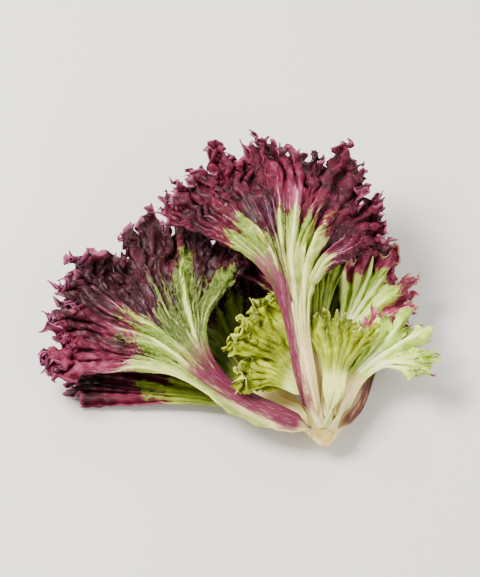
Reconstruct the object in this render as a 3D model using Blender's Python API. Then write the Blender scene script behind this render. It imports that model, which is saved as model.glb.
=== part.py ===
"""Head of red coral lettuce lying on its side: a cut stem, fan-shaped frilled leaves and a small heart.

Every leaf is one thin sheet. Its veins leave the stem side by side, run along the petiole and then fan
out, so a place on a leaf is given by two numbers: along, from 0 at the stem to 1 at the frilled margin,
and across, from 1 at the leaf's left edge to -1 at its right edge, seen from its back.
Sizes in the tables are millimetres and degrees; the model itself is in metres.
"""

import math

import bmesh
import bpy
import numpy as np

MM = 0.001

# Sheets: rows along the leaf as (along, columns across); columns double towards the margin. The blade is
# thin, and thicker where it is fleshy, up to these places along and across; what is nearly on the ground
# lies flat on it; edges flatter than this many degrees look smooth
LARGE_ROWS = [
    (0.0, 4), (0.12, 4), (0.26, 4), (0.38, 8), (0.48, 8), (0.58, 16),
    (0.68, 16), (0.78, 32), (0.86, 32), (0.93, 64), (1.0, 64),
]
SMALL_ROWS = [(0.0, 4), (0.2, 4), (0.38, 8), (0.55, 16), (0.72, 16), (0.86, 32), (1.0, 32)]
STREAM_STEPS = 48
BLADE_THICK = 1.0
FLOOR_CLEAR = BLADE_THICK / 2
FLAT_BELOW = 0.3
FLESHY_ALONG = 0.8
FLESHY_ACROSS = 0.15
SMOOTH_BELOW = 50.0
STEM_SMOOTH_BELOW = 40.0

# Petiole: its base is narrower, and its rounded or dished section flattens out where the blade begins
BASE_WIDTH = 0.7
BASE_ENDS = 0.12
SECTION_FADES = (0.2, 0.55)

# Blade: the veins fan out between these places, counted from where the petiole opens; the sides rise or
# fall as this power of the way across, from this place on
FAN_STARTS = 0.55
FAN_ENDS = 0.42
CAMBER_POWER = 1.8
CAMBER_STARTS = 0.25

# Waves of the blade: (size, waves from edge to edge, share of the seed) for the wander that makes crests
# uneven; pleats begin by the opening and soften towards the margin; the frill grows to the margin,
# turns as it goes and leans over sideways; lobes and teeth cut the margin
WANDER = ((0.16, 2.1, 1.0), (0.07, 5.3, 2.3))
WANDER_WAVES = 3.2
PLEATS_START = 0.9
PLEATS_FULL = 0.4
PLEATS_SOFTEN = (0.35, 0.8)
FRILL_GROWS = (0.55, 1.02)
FRILL_TURN = 2.7
FRILL_SEED = (1.7, 1.0)
FRILL_LEAN = 0.16
LOBE_SHARE = 0.45
LOBE_DEPTH = 0.05
LOBE_SEED = 2.0
TOOTH = 0.018

# Stem: the cut stub points down the head's axis, and the leaves stand round its collar
STEM_CENTRE = (52.5, -104.0, 20.5)
STEM_HEADING = 96.0
STEM_PROFILE = [
    (-15.6, 0.0), (-15.6, 4.6), (-14.6, 6.2), (-12.4, 7.3), (-8.0, 7.6), (-3.0, 6.9),
    (4.0, 7.0), (10.0, 6.0), (15.0, 4.0), (18.0, 0.0),
]
STEM_SIDES = 24

# One entry a leaf: base (x, y) of the petiole; heading of the midrib at its base and in its blade;
# petiole and blade lengths; width, half the petiole's width; thick, the midrib's thickness at the base;
# spread of the outermost veins to the left and right; reach, the blade's length from its left edge to its
# right edge as a share of the midrib's; heights along the midrib; camber, how far the left and right sides
# rise; tilt, how far the petiole's left edge rises at its base and its right edge drops; crown, how far
# both its edges drop; pleats and frill as (number, depth); seed of their wander;
# back, 1 where the leaf's back faces up and -1 where its face does.
LEAVES = {
    "leaf_under_left": dict(
        base=(42, -96), heading=(160, 168), petiole=56, blade=92, width=8, thick=4.0,
        spread=(27, 50), reach=(0.45, 0.84, 1.02, 1.0, 0.85), heights=(13, 12, 9.5, 7, 4.5),
        camber=(3, 15), tilt=0, crown=-1.0, pleats=(4, 2.0), frill=(8, 4.0), seed=1.0, back=-1,
    ),
    "leaf_under_middle": dict(
        base=(46, -96), heading=(150, 124), petiole=48, blade=86, width=10, thick=3.0,
        spread=(44, 50), reach=(0.7, 0.9, 1.0, 0.9, 0.7), heights=(1.45, 1.4, 2.2, 4, 4),
        camber=(0, -1), tilt=0, crown=-0.5, pleats=(5, 2.0), frill=(9, 3.0), seed=2.2, back=-1,
    ),
    "leaf_under_top": dict(
        base=(50, -97), heading=(92, 86), petiole=52, blade=100, width=6.5, thick=4.0,
        spread=(46, 46), reach=(0.9, 1.0, 1.0, 0.85, 0.7), heights=(10.5, 12, 14, 15, 15),
        camber=(0, 3), tilt=0, crown=-1.5, pleats=(5, 1.5), frill=(9, 3.5), seed=3.1, back=-1,
    ),
    "leaf_under_right": dict(
        base=(63.5, -101), heading=(54, 92), petiole=44, blade=60, width=6.5, thick=4.0,
        spread=(34, 56), reach=(0.8, 0.9, 1.0, 0.9, 0.6), heights=(11, 7, 3, 3, 4),
        camber=(0, 3), tilt=-1, crown=-1.0, pleats=(5, 1.5), frill=(8, 3.0), seed=4.4, back=-1,
    ),
    "leaf_right": dict(
        base=(64, -98), heading=(82, 22), petiole=30, blade=47, width=6, thick=4.0,
        spread=(62, 58), reach=(0.75, 0.98, 1.1, 0.95, 0.55), heights=(26, 29, 33, 36, 36),
        camber=(3, -4), tilt=2, crown=0.5, pleats=(4, 3.0), frill=(7, 4.5), seed=5.2, back=1,
    ),
    "leaf_right_back": dict(
        base=(59, -82), heading=(90, 62), petiole=36, blade=56, width=5.5, thick=3.0,
        spread=(40, 60), reach=(0.9, 0.95, 1.0, 0.95, 0.6), heights=(22, 24, 27, 30, 32),
        camber=(-3, -3), tilt=0, crown=0.5, pleats=(5, 2.5), frill=(8, 3.5), seed=6.1, back=1,
    ),
    "leaf_inner_top": dict(
        base=(48, -81), heading=(100, 92), petiole=38, blade=84, width=6, thick=3.0,
        spread=(56, 34), reach=(0.8, 1.0, 1.0, 0.9, 0.8), heights=(20, 24, 33, 39, 41),
        camber=(-12.5, 2), tilt=0, crown=0.5, pleats=(5, 2.5), frill=(9, 4.5), seed=12.4, back=-1,
    ),
    "leaf_middle_top": dict(
        base=(50, -88), heading=(94, 86), petiole=46, blade=84, width=6, thick=3.0,
        spread=(14, 30), reach=(0.85, 1.0, 1.0, 0.95, 0.8), heights=(28, 37, 48, 54, 53),
        camber=(-2, -4), tilt=0, crown=0.5, pleats=(5, 2.5), frill=(9, 4.0), seed=14.2, back=-1,
    ),
    "leaf_left": dict(
        base=(43, -108), heading=(166, 137), petiole=66, blade=112, width=8.5, thick=5.0,
        spread=(46, 84), reach=(0.93, 0.98, 0.95, 1.0, 0.74), heights=(24, 29, 36, 38, 36),
        camber=(-5, 8), tilt=0, crown=2.5, pleats=(6, 3.5), frill=(11, 5.0), seed=7.3, back=1,
    ),
    "leaf_top": dict(
        base=(47, -104), heading=(105, 92), petiole=60, blade=114, width=8, thick=5.0,
        spread=(63, 66), reach=(0.90, 0.98, 1.0, 0.86, 0.62), heights=(32, 48, 63, 71, 67),
        camber=(-5, -12), tilt=0, crown=2.5, pleats=(7, 4.5), frill=(12, 6.0), seed=8.2, back=1,
    ),
    "heart_right": dict(
        base=(58.5, -97), heading=(86, 84), petiole=20, blade=38, width=4.5, thick=2.0,
        spread=(26, 34), reach=(0.9, 1.0, 0.85), heights=(34, 38, 41.5, 44, 45),
        camber=(2, 2), tilt=0, crown=0.0, pleats=(3, 1.2), frill=(5, 2.2), seed=9.0,
        back=-1, rows=SMALL_ROWS,
    ),
    "heart_front": dict(
        base=(45, -86), heading=(165, 152), petiole=12, blade=40, width=4.5, thick=2.0,
        spread=(60, 38), reach=(0.6, 1.0, 0.85), heights=(31, 34, 36, 36, 36),
        camber=(2, 0), tilt=0, crown=0.0, pleats=(3, 1.5), frill=(6, 2.4), seed=10.0,
        back=-1, rows=SMALL_ROWS,
    ),
    "heart_middle": dict(
        base=(45.5, -76), heading=(130, 126), petiole=12, blade=42, width=4.5, thick=2.0,
        spread=(38, 22), reach=(0.9, 1.0, 0.85), heights=(26, 34, 42, 46, 47),
        camber=(0, 0), tilt=0, crown=0.0, pleats=(3, 1.5), frill=(6, 2.4), seed=11.0,
        back=-1, rows=SMALL_ROWS,
    ),
    "heart_left": dict(
        base=(41, -80), heading=(190, 180), petiole=8, blade=29, width=4.5, thick=2.0,
        spread=(10, 50), reach=(0.8, 1.0, 0.85), heights=(26, 27.3, 30.0, 31.2, 30.7),
        camber=(2, 0), tilt=0, crown=0.0, pleats=(3, 1.2), frill=(6, 2.0), seed=15.0,
        back=-1, rows=SMALL_ROWS,
    ),
}

COLOURS = {
    "red_leaf": ((0.36, 0.10, 0.17, 1.0), 0.42),
    "green_leaf": ((0.55, 0.68, 0.28, 1.0), 0.45),
    "heart_leaf": ((0.62, 0.68, 0.16, 1.0), 0.45),
    "stem": ((0.86, 0.72, 0.42, 1.0), 0.55),
}
GREEN_LEAVES = ("leaf_right",)


def clear_scene():
    for obj in list(bpy.data.objects):
        bpy.data.objects.remove(obj, do_unlink=True)


def material(name):
    colour, roughness = COLOURS[name]
    made = bpy.data.materials.new(name)
    made.use_nodes = True
    shader = made.node_tree.nodes["Principled BSDF"]
    shader.inputs["Base Color"].default_value = colour
    shader.inputs["Roughness"].default_value = roughness
    shader.inputs["Metallic"].default_value = 0.0
    return made


def ease(value, low, high):
    """0 below low, 1 above high, and a smooth rise between."""
    share = np.clip((value - low) / (high - low), 0, 1)
    return share * share * (3 - 2 * share)


def curve_through(values, share):
    """The height at each share, 0 to 1, of a smooth curve through evenly spaced values."""
    values = np.asarray(values, float)
    last = len(values) - 1
    place = np.clip(share, 0, 1) * last
    index = np.minimum(place.astype(int), last - 1)
    part = place - index
    padded = np.concatenate([[2 * values[0] - values[1]], values, [2 * values[-1] - values[-2]]])
    a, b, c, d = padded[index], padded[index + 1], padded[index + 2], padded[index + 3]
    return 0.5 * (2 * b + (c - a) * part + (2 * a - 5 * b + 4 * c - d) * part**2
                  + (3 * b - a - 3 * c + d) * part**3)


def uneven_phase(across, count, seed):
    """Phase of a wave with that many half turns from the middle to an edge, and crests of uneven width."""
    wander = sum(size * np.sin(waves * math.pi * across + share * seed) for size, waves, share in WANDER)
    return math.pi * (count * across + WANDER_WAVES * wander)


def vein_heading(leaf, along, across):
    """Direction, in radians, of the vein at that place on the leaf."""
    start, end = leaf["heading"]
    midrib = curve_through([start, (start + end) / 2, end, end, end], along)
    opening = leaf["petiole"] / (leaf["petiole"] + leaf["blade"])
    spread = np.where(across > 0, leaf["spread"][0], leaf["spread"][1])
    return np.radians(midrib + across * spread * ease(along, FAN_STARTS * opening, opening + FAN_ENDS))


def vein_reach(leaf, across):
    """Each vein's length in the blade as a share of the midrib's, with the lobes of the margin."""
    lobes = np.sin(uneven_phase(across, LOBE_SHARE * leaf["frill"][0], leaf["seed"] + LOBE_SEED))
    return curve_through(leaf["reach"], (1 - across) / 2) * (1 + LOBE_DEPTH * lobes)


def plan(leaf, along, across):
    """Where the veins lead, seen from above."""
    opening = leaf["petiole"] / (leaf["petiole"] + leaf["blade"])
    reach = vein_reach(leaf, across)
    step = (np.arange(STREAM_STEPS) + 0.5) / STREAM_STEPS
    passed = step[None, :] * along[:, None]
    in_blade = (leaf["blade"] * reach / (1 - opening))[:, None]
    pace = np.where(passed < opening, leaf["petiole"] / opening, in_blade)
    heading = vein_heading(leaf, passed, across[:, None])
    share = along[:, None] / STREAM_STEPS
    first = math.radians(leaf["heading"][0])
    aside = across * leaf["width"] * (BASE_WIDTH + (1 - BASE_WIDTH) * ease(along, 0.0, BASE_ENDS))
    x = leaf["base"][0] - math.sin(first) * aside + (np.cos(heading) * pace * share).sum(1)
    y = leaf["base"][1] + math.cos(first) * aside + (np.sin(heading) * pace * share).sum(1)
    return x, y


def leaf_surface(leaf, along, across):
    """Points of the leaf's middle surface, in millimetres."""
    opening = leaf["petiole"] / (leaf["petiole"] + leaf["blade"])
    x, y = plan(leaf, along, across)
    z = curve_through(leaf["heights"], along)
    camber = np.where(across > 0, *leaf["camber"])
    z += camber * np.abs(across) ** CAMBER_POWER * ease(along, CAMBER_STARTS, 1.0)
    z += (leaf["tilt"] * across - leaf["crown"] * across**2) * (1 - ease(along, *SECTION_FADES))
    count, depth = leaf["pleats"]
    pleat = depth * ease(along, PLEATS_START * opening, opening + PLEATS_FULL)
    pleat = pleat * (1 - PLEATS_SOFTEN[0] * ease(along, PLEATS_SOFTEN[1], 1.0))
    z += leaf["back"] * pleat * np.cos(uneven_phase(across, count, leaf["seed"]))
    count, depth = leaf["frill"]
    phase = uneven_phase(across, count, FRILL_SEED[0] * leaf["seed"] + FRILL_SEED[1])
    phase = phase + FRILL_TURN * (along - FRILL_GROWS[0]) * np.sin(leaf["seed"] + 4 * across)
    grown = ease(along, *FRILL_GROWS)
    z += depth * grown * np.sin(phase)
    spread = np.radians(np.where(across > 0, *leaf["spread"]))
    pitch = spread * leaf["blade"] * vein_reach(leaf, across) / count
    sway = -FRILL_LEAN * pitch * grown * np.sin(2 * phase)
    heading = vein_heading(leaf, along, across)
    x = x - np.sin(heading) * sway
    y = y + np.cos(heading) * sway
    return np.stack([x, y, np.maximum(z, FLOOR_CLEAR)], 1)


def sheet_grid(rows):
    """along, across and triangles of a sheet whose rows may double their columns, with a toothed last row."""
    along, across, starts = [], [], []
    for place, columns in rows:
        starts.append(len(along))
        for column in range(columns + 1):
            tooth = TOOTH * (column % 2) if place == 1.0 else 0.0
            along.append(place - tooth)
            across.append(1 - 2 * column / columns)
    triangles = []
    for row in range(len(rows) - 1):
        count, above = rows[row][1], rows[row + 1][1]
        low, high = starts[row], starts[row + 1]
        for c in range(count):
            if above == count and c % 2:
                triangles += [(low + c, low + c + 1, high + c + 1), (low + c, high + c + 1, high + c)]
            elif above == count:
                triangles += [(low + c, low + c + 1, high + c), (low + c + 1, high + c + 1, high + c)]
            else:
                k = high + 2 * c
                triangles += [(low + c, k + 1, k), (low + c, low + c + 1, k + 1), (low + c + 1, k + 2, k + 1)]
    return np.array(along), np.array(across), triangles


def add_object(name, mesh, colour):
    mesh.materials.append(colour)
    obj = bpy.data.objects.new(name, mesh)
    bpy.context.scene.collection.objects.link(obj)
    return obj


def add_leaf(name, leaf, colour):
    """A sheet thickened on both sides, fleshy along the midrib and flat where it lies on the ground."""
    along, across, triangles = sheet_grid(leaf.get("rows", LARGE_ROWS))
    points = leaf_surface(leaf, along, across) * MM
    mesh = bpy.data.meshes.new(name)
    mesh.from_pydata([tuple(p) for p in points], [], [t[::-1] for t in triangles])
    obj = add_object(name, mesh, colour)
    rib = obj.vertex_groups.new(name="midrib")
    fleshy = (1 - ease(along, 0.0, FLESHY_ALONG)) * (1 - ease(np.abs(across), FLESHY_ACROSS, 1.0))
    for index, weight in enumerate(fleshy):
        rib.add([index], float(weight), "REPLACE")
    solid = obj.modifiers.new("thickness", "SOLIDIFY")
    solid.thickness = leaf["thick"] * MM
    solid.offset = 0.0
    solid.vertex_group = rib.name
    solid.thickness_vertex_group = BLADE_THICK / leaf["thick"]
    with bpy.context.temp_override(object=obj, active_object=obj, selected_objects=[obj]):
        bpy.ops.object.modifier_apply(modifier=solid.name)
    for vertex in obj.data.vertices:
        if vertex.co.z < FLAT_BELOW * MM:
            vertex.co.z = 0.0
    obj.data.shade_smooth()
    obj.data.set_sharp_from_angle(angle=math.radians(SMOOTH_BELOW))
    return obj


def add_stem(colour):
    """The cut stub and core, turned about the head's axis."""
    mesh = bpy.data.meshes.new("stem")
    shape = bmesh.new()
    profile = [shape.verts.new((r * MM, 0.0, h * MM)) for h, r in STEM_PROFILE]
    edges = [shape.edges.new(pair) for pair in zip(profile, profile[1:])]
    bmesh.ops.spin(shape, geom=profile + edges, cent=(0, 0, 0), axis=(0, 0, 1),
                   angle=2 * math.pi, steps=STEM_SIDES, use_merge=True)
    bmesh.ops.remove_doubles(shape, verts=shape.verts, dist=1e-6)
    bmesh.ops.recalc_face_normals(shape, faces=shape.faces)
    bmesh.ops.triangulate(shape, faces=shape.faces)
    shape.to_mesh(mesh)
    shape.free()
    mesh.shade_smooth()
    mesh.set_sharp_from_angle(angle=math.radians(STEM_SMOOTH_BELOW))
    obj = add_object("stem", mesh, colour)
    obj.location = [c * MM for c in STEM_CENTRE]
    obj.rotation_euler = (math.radians(-90), 0, math.radians(STEM_HEADING - 90))
    return obj


def centre_on_origin(objects):
    """Puts the middle of the head's box over the origin; the ground is already at zero."""
    bpy.context.view_layer.update()
    corners = np.array([obj.matrix_world @ v.co for obj in objects for v in obj.data.vertices])
    middle = (corners.min(0) + corners.max(0)) / 2
    for obj in objects:
        obj.location.x -= middle[0]
        obj.location.y -= middle[1]


def main():
    clear_scene()
    colours = {name: material(name) for name in COLOURS}
    made = [add_stem(colours["stem"])]
    for name, leaf in LEAVES.items():
        kind = "heart_leaf" if name.startswith("heart") else "red_leaf"
        made.append(add_leaf(name, leaf, colours["green_leaf" if name in GREEN_LEAVES else kind]))
    centre_on_origin(made)


main()
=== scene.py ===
"""Head of red coral lettuce, dressed: finer leaves with ruffled, toothed margins, veins and colour.

Every leaf is one thin sheet that follows the form of its solid. A place on it is given by two numbers:
along, from 0 at the stem to 1 at the frilled margin, and across, from 1 at the leaf's left edge to -1 at
its right edge, seen from above. Sizes in the tables are millimetres and degrees.
"""

import math
from types import SimpleNamespace

import bmesh
import bpy
import numpy as np
from mathutils import Matrix, Vector


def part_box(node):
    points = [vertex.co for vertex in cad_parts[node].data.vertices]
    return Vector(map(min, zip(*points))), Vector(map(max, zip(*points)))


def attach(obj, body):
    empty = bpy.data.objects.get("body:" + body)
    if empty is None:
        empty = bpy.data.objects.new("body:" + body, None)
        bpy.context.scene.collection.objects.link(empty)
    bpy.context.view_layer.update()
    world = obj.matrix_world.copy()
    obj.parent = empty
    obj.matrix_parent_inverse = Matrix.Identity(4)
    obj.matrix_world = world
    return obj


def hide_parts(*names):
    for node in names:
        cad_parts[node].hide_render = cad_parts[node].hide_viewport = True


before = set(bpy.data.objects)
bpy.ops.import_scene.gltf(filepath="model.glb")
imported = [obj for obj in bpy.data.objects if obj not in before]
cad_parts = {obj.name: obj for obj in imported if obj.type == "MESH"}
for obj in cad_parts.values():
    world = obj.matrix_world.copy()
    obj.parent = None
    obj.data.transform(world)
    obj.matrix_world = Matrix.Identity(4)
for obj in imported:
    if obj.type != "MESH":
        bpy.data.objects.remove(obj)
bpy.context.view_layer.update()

bl_info = {
    "name": "Red coral lettuce",
    "version": (1, 0, 0),
    "blender": (4, 5, 0),
    "location": "View3D > Sidebar > Lettuce",
    "description": "Builds the ruffled leaves, the heart and the cut stem of a head of red coral lettuce",
    "category": "Add Mesh",
}

MM = 0.001

# The leaf table's own frame: where the stem's middle stands in it, and its solid's box gives the shift
STEM_BOX_MIDDLE = (51.9, -103.0)
STEM_CENTRE = (52.5, -104.0, 20.5)
STEM_HEADING = 96.0

# Stem: (place along its axis, radius), from beyond the cut to the growing tip inside the head. The cut
# slants, and its face leans back from the point given by this angle
STEM_PROFILE = (
    (-18.0, 5.2), (-15.0, 6.3), (-12.5, 7.1), (-9.5, 7.6), (-6.5, 7.4), (-3.0, 7.2), (2.0, 7.0), (8.0, 6.4),
    (14.0, 4.4), (18.0, 0.6),
)
STEM_SIDES = 72
CUT_LEANS = 38.0
CUT_AT = -7.6
CUT_FACES = 0.99
CUT_PITH = 0.8
# Rings of the cut, from its edge to the middle: (size as a share of the edge's, step outwards in roundings)
CUT_RINGS = ((0.97, 0.55), (0.91, 0.45), (0.84, 0.0), (0.78, -0.55), (0.55, -0.2), (0.30, 0.1), (0.12, -0.1))
# Skin: fibres run along it, drawn out to this, and lumps lie over them
SKIN_FIBRE_HEIGHT = 0.6
SKIN_FIBRE_STRETCH = 0.25
SKIN_FIBRE_PITCH = 2.4
SKIN_FIBRE_SEED = 3.0
SKIN_LUMP_PITCH = 4.5
SKIN_LUMP_SEED = 5.0

# Sheets: the grid starts with this many faces across and along, and each band nearer the margin has its
# faces cut in four; rows then crowd towards the margin by this power
GRID_ACROSS = 24
GRID_ALONG = 12
BANDS_NEAR = (0.10, 0.34, 0.52, 0.74, 0.90)
BANDS_LARGE = (0.10, 0.40, 0.62, 0.84)
BANDS_HIDDEN = (0.10, 0.45, 0.72)
BANDS_SMALL = (0.10, 0.40, 0.66)
ROW_CROWDING = 1.25
STREAM_STEPS = 48
FLOOR_CLEAR = 0.5
FLESHY_ALONG = 0.8
FLESHY_ACROSS = 0.15
TINY = 1e-4

# Petiole: its base is narrower, and its rounded or dished section flattens out where the blade begins
BASE_WIDTH = 0.7
BASE_ENDS = 0.12
SECTION_FADES = (0.2, 0.55)

# Blade: the veins fan out between these places, counted from where the petiole opens; the sides rise or
# fall as this power of the way across, from this place on
FAN_STARTS = 0.55
FAN_ENDS = 0.42
CAMBER_POWER = 1.8
CAMBER_STARTS = 0.25

# Waves of the blade: (size, waves from edge to edge, share of the seed) for the wander that makes crests
# uneven; pleats begin by the opening and soften towards the margin; the frill grows to the margin,
# turns as it goes and leans over sideways; lobes and teeth cut the margin
WANDER = ((0.16, 2.1, 1.0), (0.07, 5.3, 2.3))
WANDER_WAVES = 3.2
PLEATS_START = 0.9
PLEATS_FULL = 0.4
PLEATS_SOFTEN = (0.35, 0.8)
FRILL_GROWS = (0.55, 1.02)
FRILL_TURN = 2.7
FRILL_TURN_WAVES = 4
FRILL_SEED = (1.7, 1.0)
FRILL_LEAN = 0.16
LOBE_SHARE = 0.45
LOBE_DEPTH = 0.05
LOBE_SEED = 2.0

# Stage: the camera looks down at the head from this height above the horizon, through a lens so long that
# sizes hardly change with distance; PIXEL_OF_TABLE is where the leaf table's origin falls in the image
FLOOR_SIZE = 6.0
FLOOR_ROUGHNESS = 0.9
ROOM_LIGHT = 0.6
LENS = 320.0
SENSOR = 36.0
CLIP_START = 0.05
IMAGE_SIZE = (480, 577)
PIXEL_MM = 0.625
PIXEL_OF_TABLE = (237.0, 291.0)
LIGHTS = (
    ("key", (-0.55, 0.1, 0.95), 0.45, 33.0),
    ("fill", (0.8, -0.6, 0.7), 0.9, 13.0),
    ("rim", (0.3, 1.0, 0.6), 0.7, 8.0),
)

# One entry a leaf: base (x, y) of the petiole; heading of the midrib at its base and in its blade;
# petiole and blade lengths; width, half the petiole's width; thick, the midrib's thickness at the base;
# spread of the outermost veins to the left and right; reach, the blade's length from its left edge to its
# right edge as a share of the midrib's; heights along the midrib; camber, how far the left and right sides
# rise; tilt, how far the petiole's left edge rises at its base and its right edge drops; crown, how far
# both its edges drop; pleats and frill as (number, depth); seed of their wander;
# back, 1 where the leaf's back faces up and -1 where its face does.
LEAVES = {
    "leaf_under_left": dict(
        base=(42, -96), heading=(160, 168), petiole=56, blade=92, width=8, thick=4.0,
        spread=(27, 50), reach=(0.45, 0.84, 1.02, 1.0, 0.85), heights=(13, 12, 9.5, 7, 4.5),
        camber=(3, 15), tilt=0, crown=-1.0, pleats=(4, 2.0), frill=(8, 4.0), seed=1.0, back=-1,
    ),
    "leaf_under_middle": dict(
        base=(46, -96), heading=(150, 124), petiole=48, blade=86, width=10, thick=3.0,
        spread=(44, 50), reach=(0.7, 0.9, 1.0, 0.9, 0.7), heights=(1.45, 1.4, 2.2, 4, 4),
        camber=(0, -1), tilt=0, crown=-0.5, pleats=(5, 2.0), frill=(9, 3.0), seed=2.2, back=-1,
    ),
    "leaf_under_top": dict(
        base=(50, -97), heading=(92, 86), petiole=52, blade=100, width=6.5, thick=4.0,
        spread=(46, 46), reach=(0.9, 1.0, 1.0, 0.85, 0.7), heights=(10.5, 12, 14, 15, 15),
        camber=(0, 3), tilt=0, crown=-1.5, pleats=(5, 1.5), frill=(9, 3.5), seed=3.1, back=-1,
    ),
    "leaf_under_right": dict(
        base=(63.5, -101), heading=(54, 92), petiole=44, blade=60, width=6.5, thick=4.0,
        spread=(34, 56), reach=(0.8, 0.9, 1.0, 0.9, 0.6), heights=(11, 7, 3, 3, 4),
        camber=(0, 3), tilt=-1, crown=-1.0, pleats=(5, 1.5), frill=(8, 3.0), seed=4.4, back=-1,
    ),
    "leaf_right": dict(
        base=(64, -98), heading=(82, 22), petiole=30, blade=47, width=6, thick=4.0,
        spread=(62, 58), reach=(0.75, 0.98, 1.1, 0.95, 0.55), heights=(26, 29, 33, 36, 36),
        camber=(3, -4), tilt=2, crown=0.5, pleats=(4, 3.0), frill=(7, 4.5), seed=5.2, back=1,
    ),
    "leaf_right_back": dict(
        base=(59, -82), heading=(90, 62), petiole=36, blade=56, width=5.5, thick=3.0,
        spread=(40, 60), reach=(0.9, 0.95, 1.0, 0.95, 0.6), heights=(22, 24, 27, 30, 32),
        camber=(-3, -3), tilt=0, crown=0.5, pleats=(5, 2.5), frill=(8, 3.5), seed=6.1, back=1,
    ),
    "leaf_inner_top": dict(
        base=(48, -81), heading=(100, 92), petiole=38, blade=84, width=6, thick=3.0,
        spread=(56, 34), reach=(0.8, 1.0, 1.0, 0.9, 0.8), heights=(20, 24, 33, 39, 41),
        camber=(-12.5, 2), tilt=0, crown=0.5, pleats=(5, 2.5), frill=(9, 4.5), seed=12.4, back=-1,
    ),
    "leaf_middle_top": dict(
        base=(50, -88), heading=(94, 86), petiole=46, blade=84, width=6, thick=3.0,
        spread=(14, 30), reach=(0.85, 1.0, 1.0, 0.95, 0.8), heights=(28, 37, 48, 54, 53),
        camber=(-2, -4), tilt=0, crown=0.5, pleats=(5, 2.5), frill=(9, 4.0), seed=14.2, back=-1,
    ),
    "leaf_left": dict(
        base=(43, -108), heading=(166, 137), petiole=66, blade=112, width=8.5, thick=5.0,
        spread=(46, 84), reach=(0.93, 0.98, 0.95, 1.0, 0.74), heights=(24, 29, 36, 38, 36),
        camber=(-5, 8), tilt=0, crown=2.5, pleats=(6, 3.5), frill=(11, 5.0), seed=7.3, back=1,
    ),
    "leaf_top": dict(
        base=(47, -104), heading=(105, 92), petiole=60, blade=114, width=8, thick=5.0,
        spread=(63, 66), reach=(0.90, 0.98, 1.0, 0.86, 0.62), heights=(32, 48, 63, 71, 67),
        camber=(-5, -12), tilt=0, crown=2.5, pleats=(7, 4.5), frill=(12, 6.0), seed=8.2, back=1,
    ),
    "heart_right": dict(
        base=(58.5, -97), heading=(86, 84), petiole=20, blade=38, width=4.5, thick=2.0,
        spread=(26, 34), reach=(0.9, 1.0, 0.85), heights=(34, 38, 41.5, 44, 45),
        camber=(2, 2), tilt=0, crown=0.0, pleats=(3, 1.2), frill=(5, 2.2), seed=9.0,
        back=-1,
    ),
    "heart_front": dict(
        base=(45, -86), heading=(165, 152), petiole=12, blade=40, width=4.5, thick=2.0,
        spread=(60, 38), reach=(0.6, 1.0, 0.85), heights=(31, 34, 36, 36, 36),
        camber=(2, 0), tilt=0, crown=0.0, pleats=(3, 1.5), frill=(6, 2.4), seed=10.0,
        back=-1,
    ),
    "heart_middle": dict(
        base=(45.5, -76), heading=(130, 126), petiole=12, blade=42, width=4.5, thick=2.0,
        spread=(38, 22), reach=(0.9, 1.0, 0.85), heights=(26, 34, 42, 46, 47),
        camber=(0, 0), tilt=0, crown=0.0, pleats=(3, 1.5), frill=(6, 2.4), seed=11.0,
        back=-1,
    ),
    "heart_left": dict(
        base=(41, -80), heading=(190, 180), petiole=8, blade=29, width=4.5, thick=2.0,
        spread=(10, 50), reach=(0.8, 1.0, 0.85), heights=(26, 27.3, 30.0, 31.2, 30.7),
        camber=(2, 0), tilt=0, crown=0.0, pleats=(3, 1.2), frill=(6, 2.0), seed=15.0,
        back=-1,
    ),
}

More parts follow.
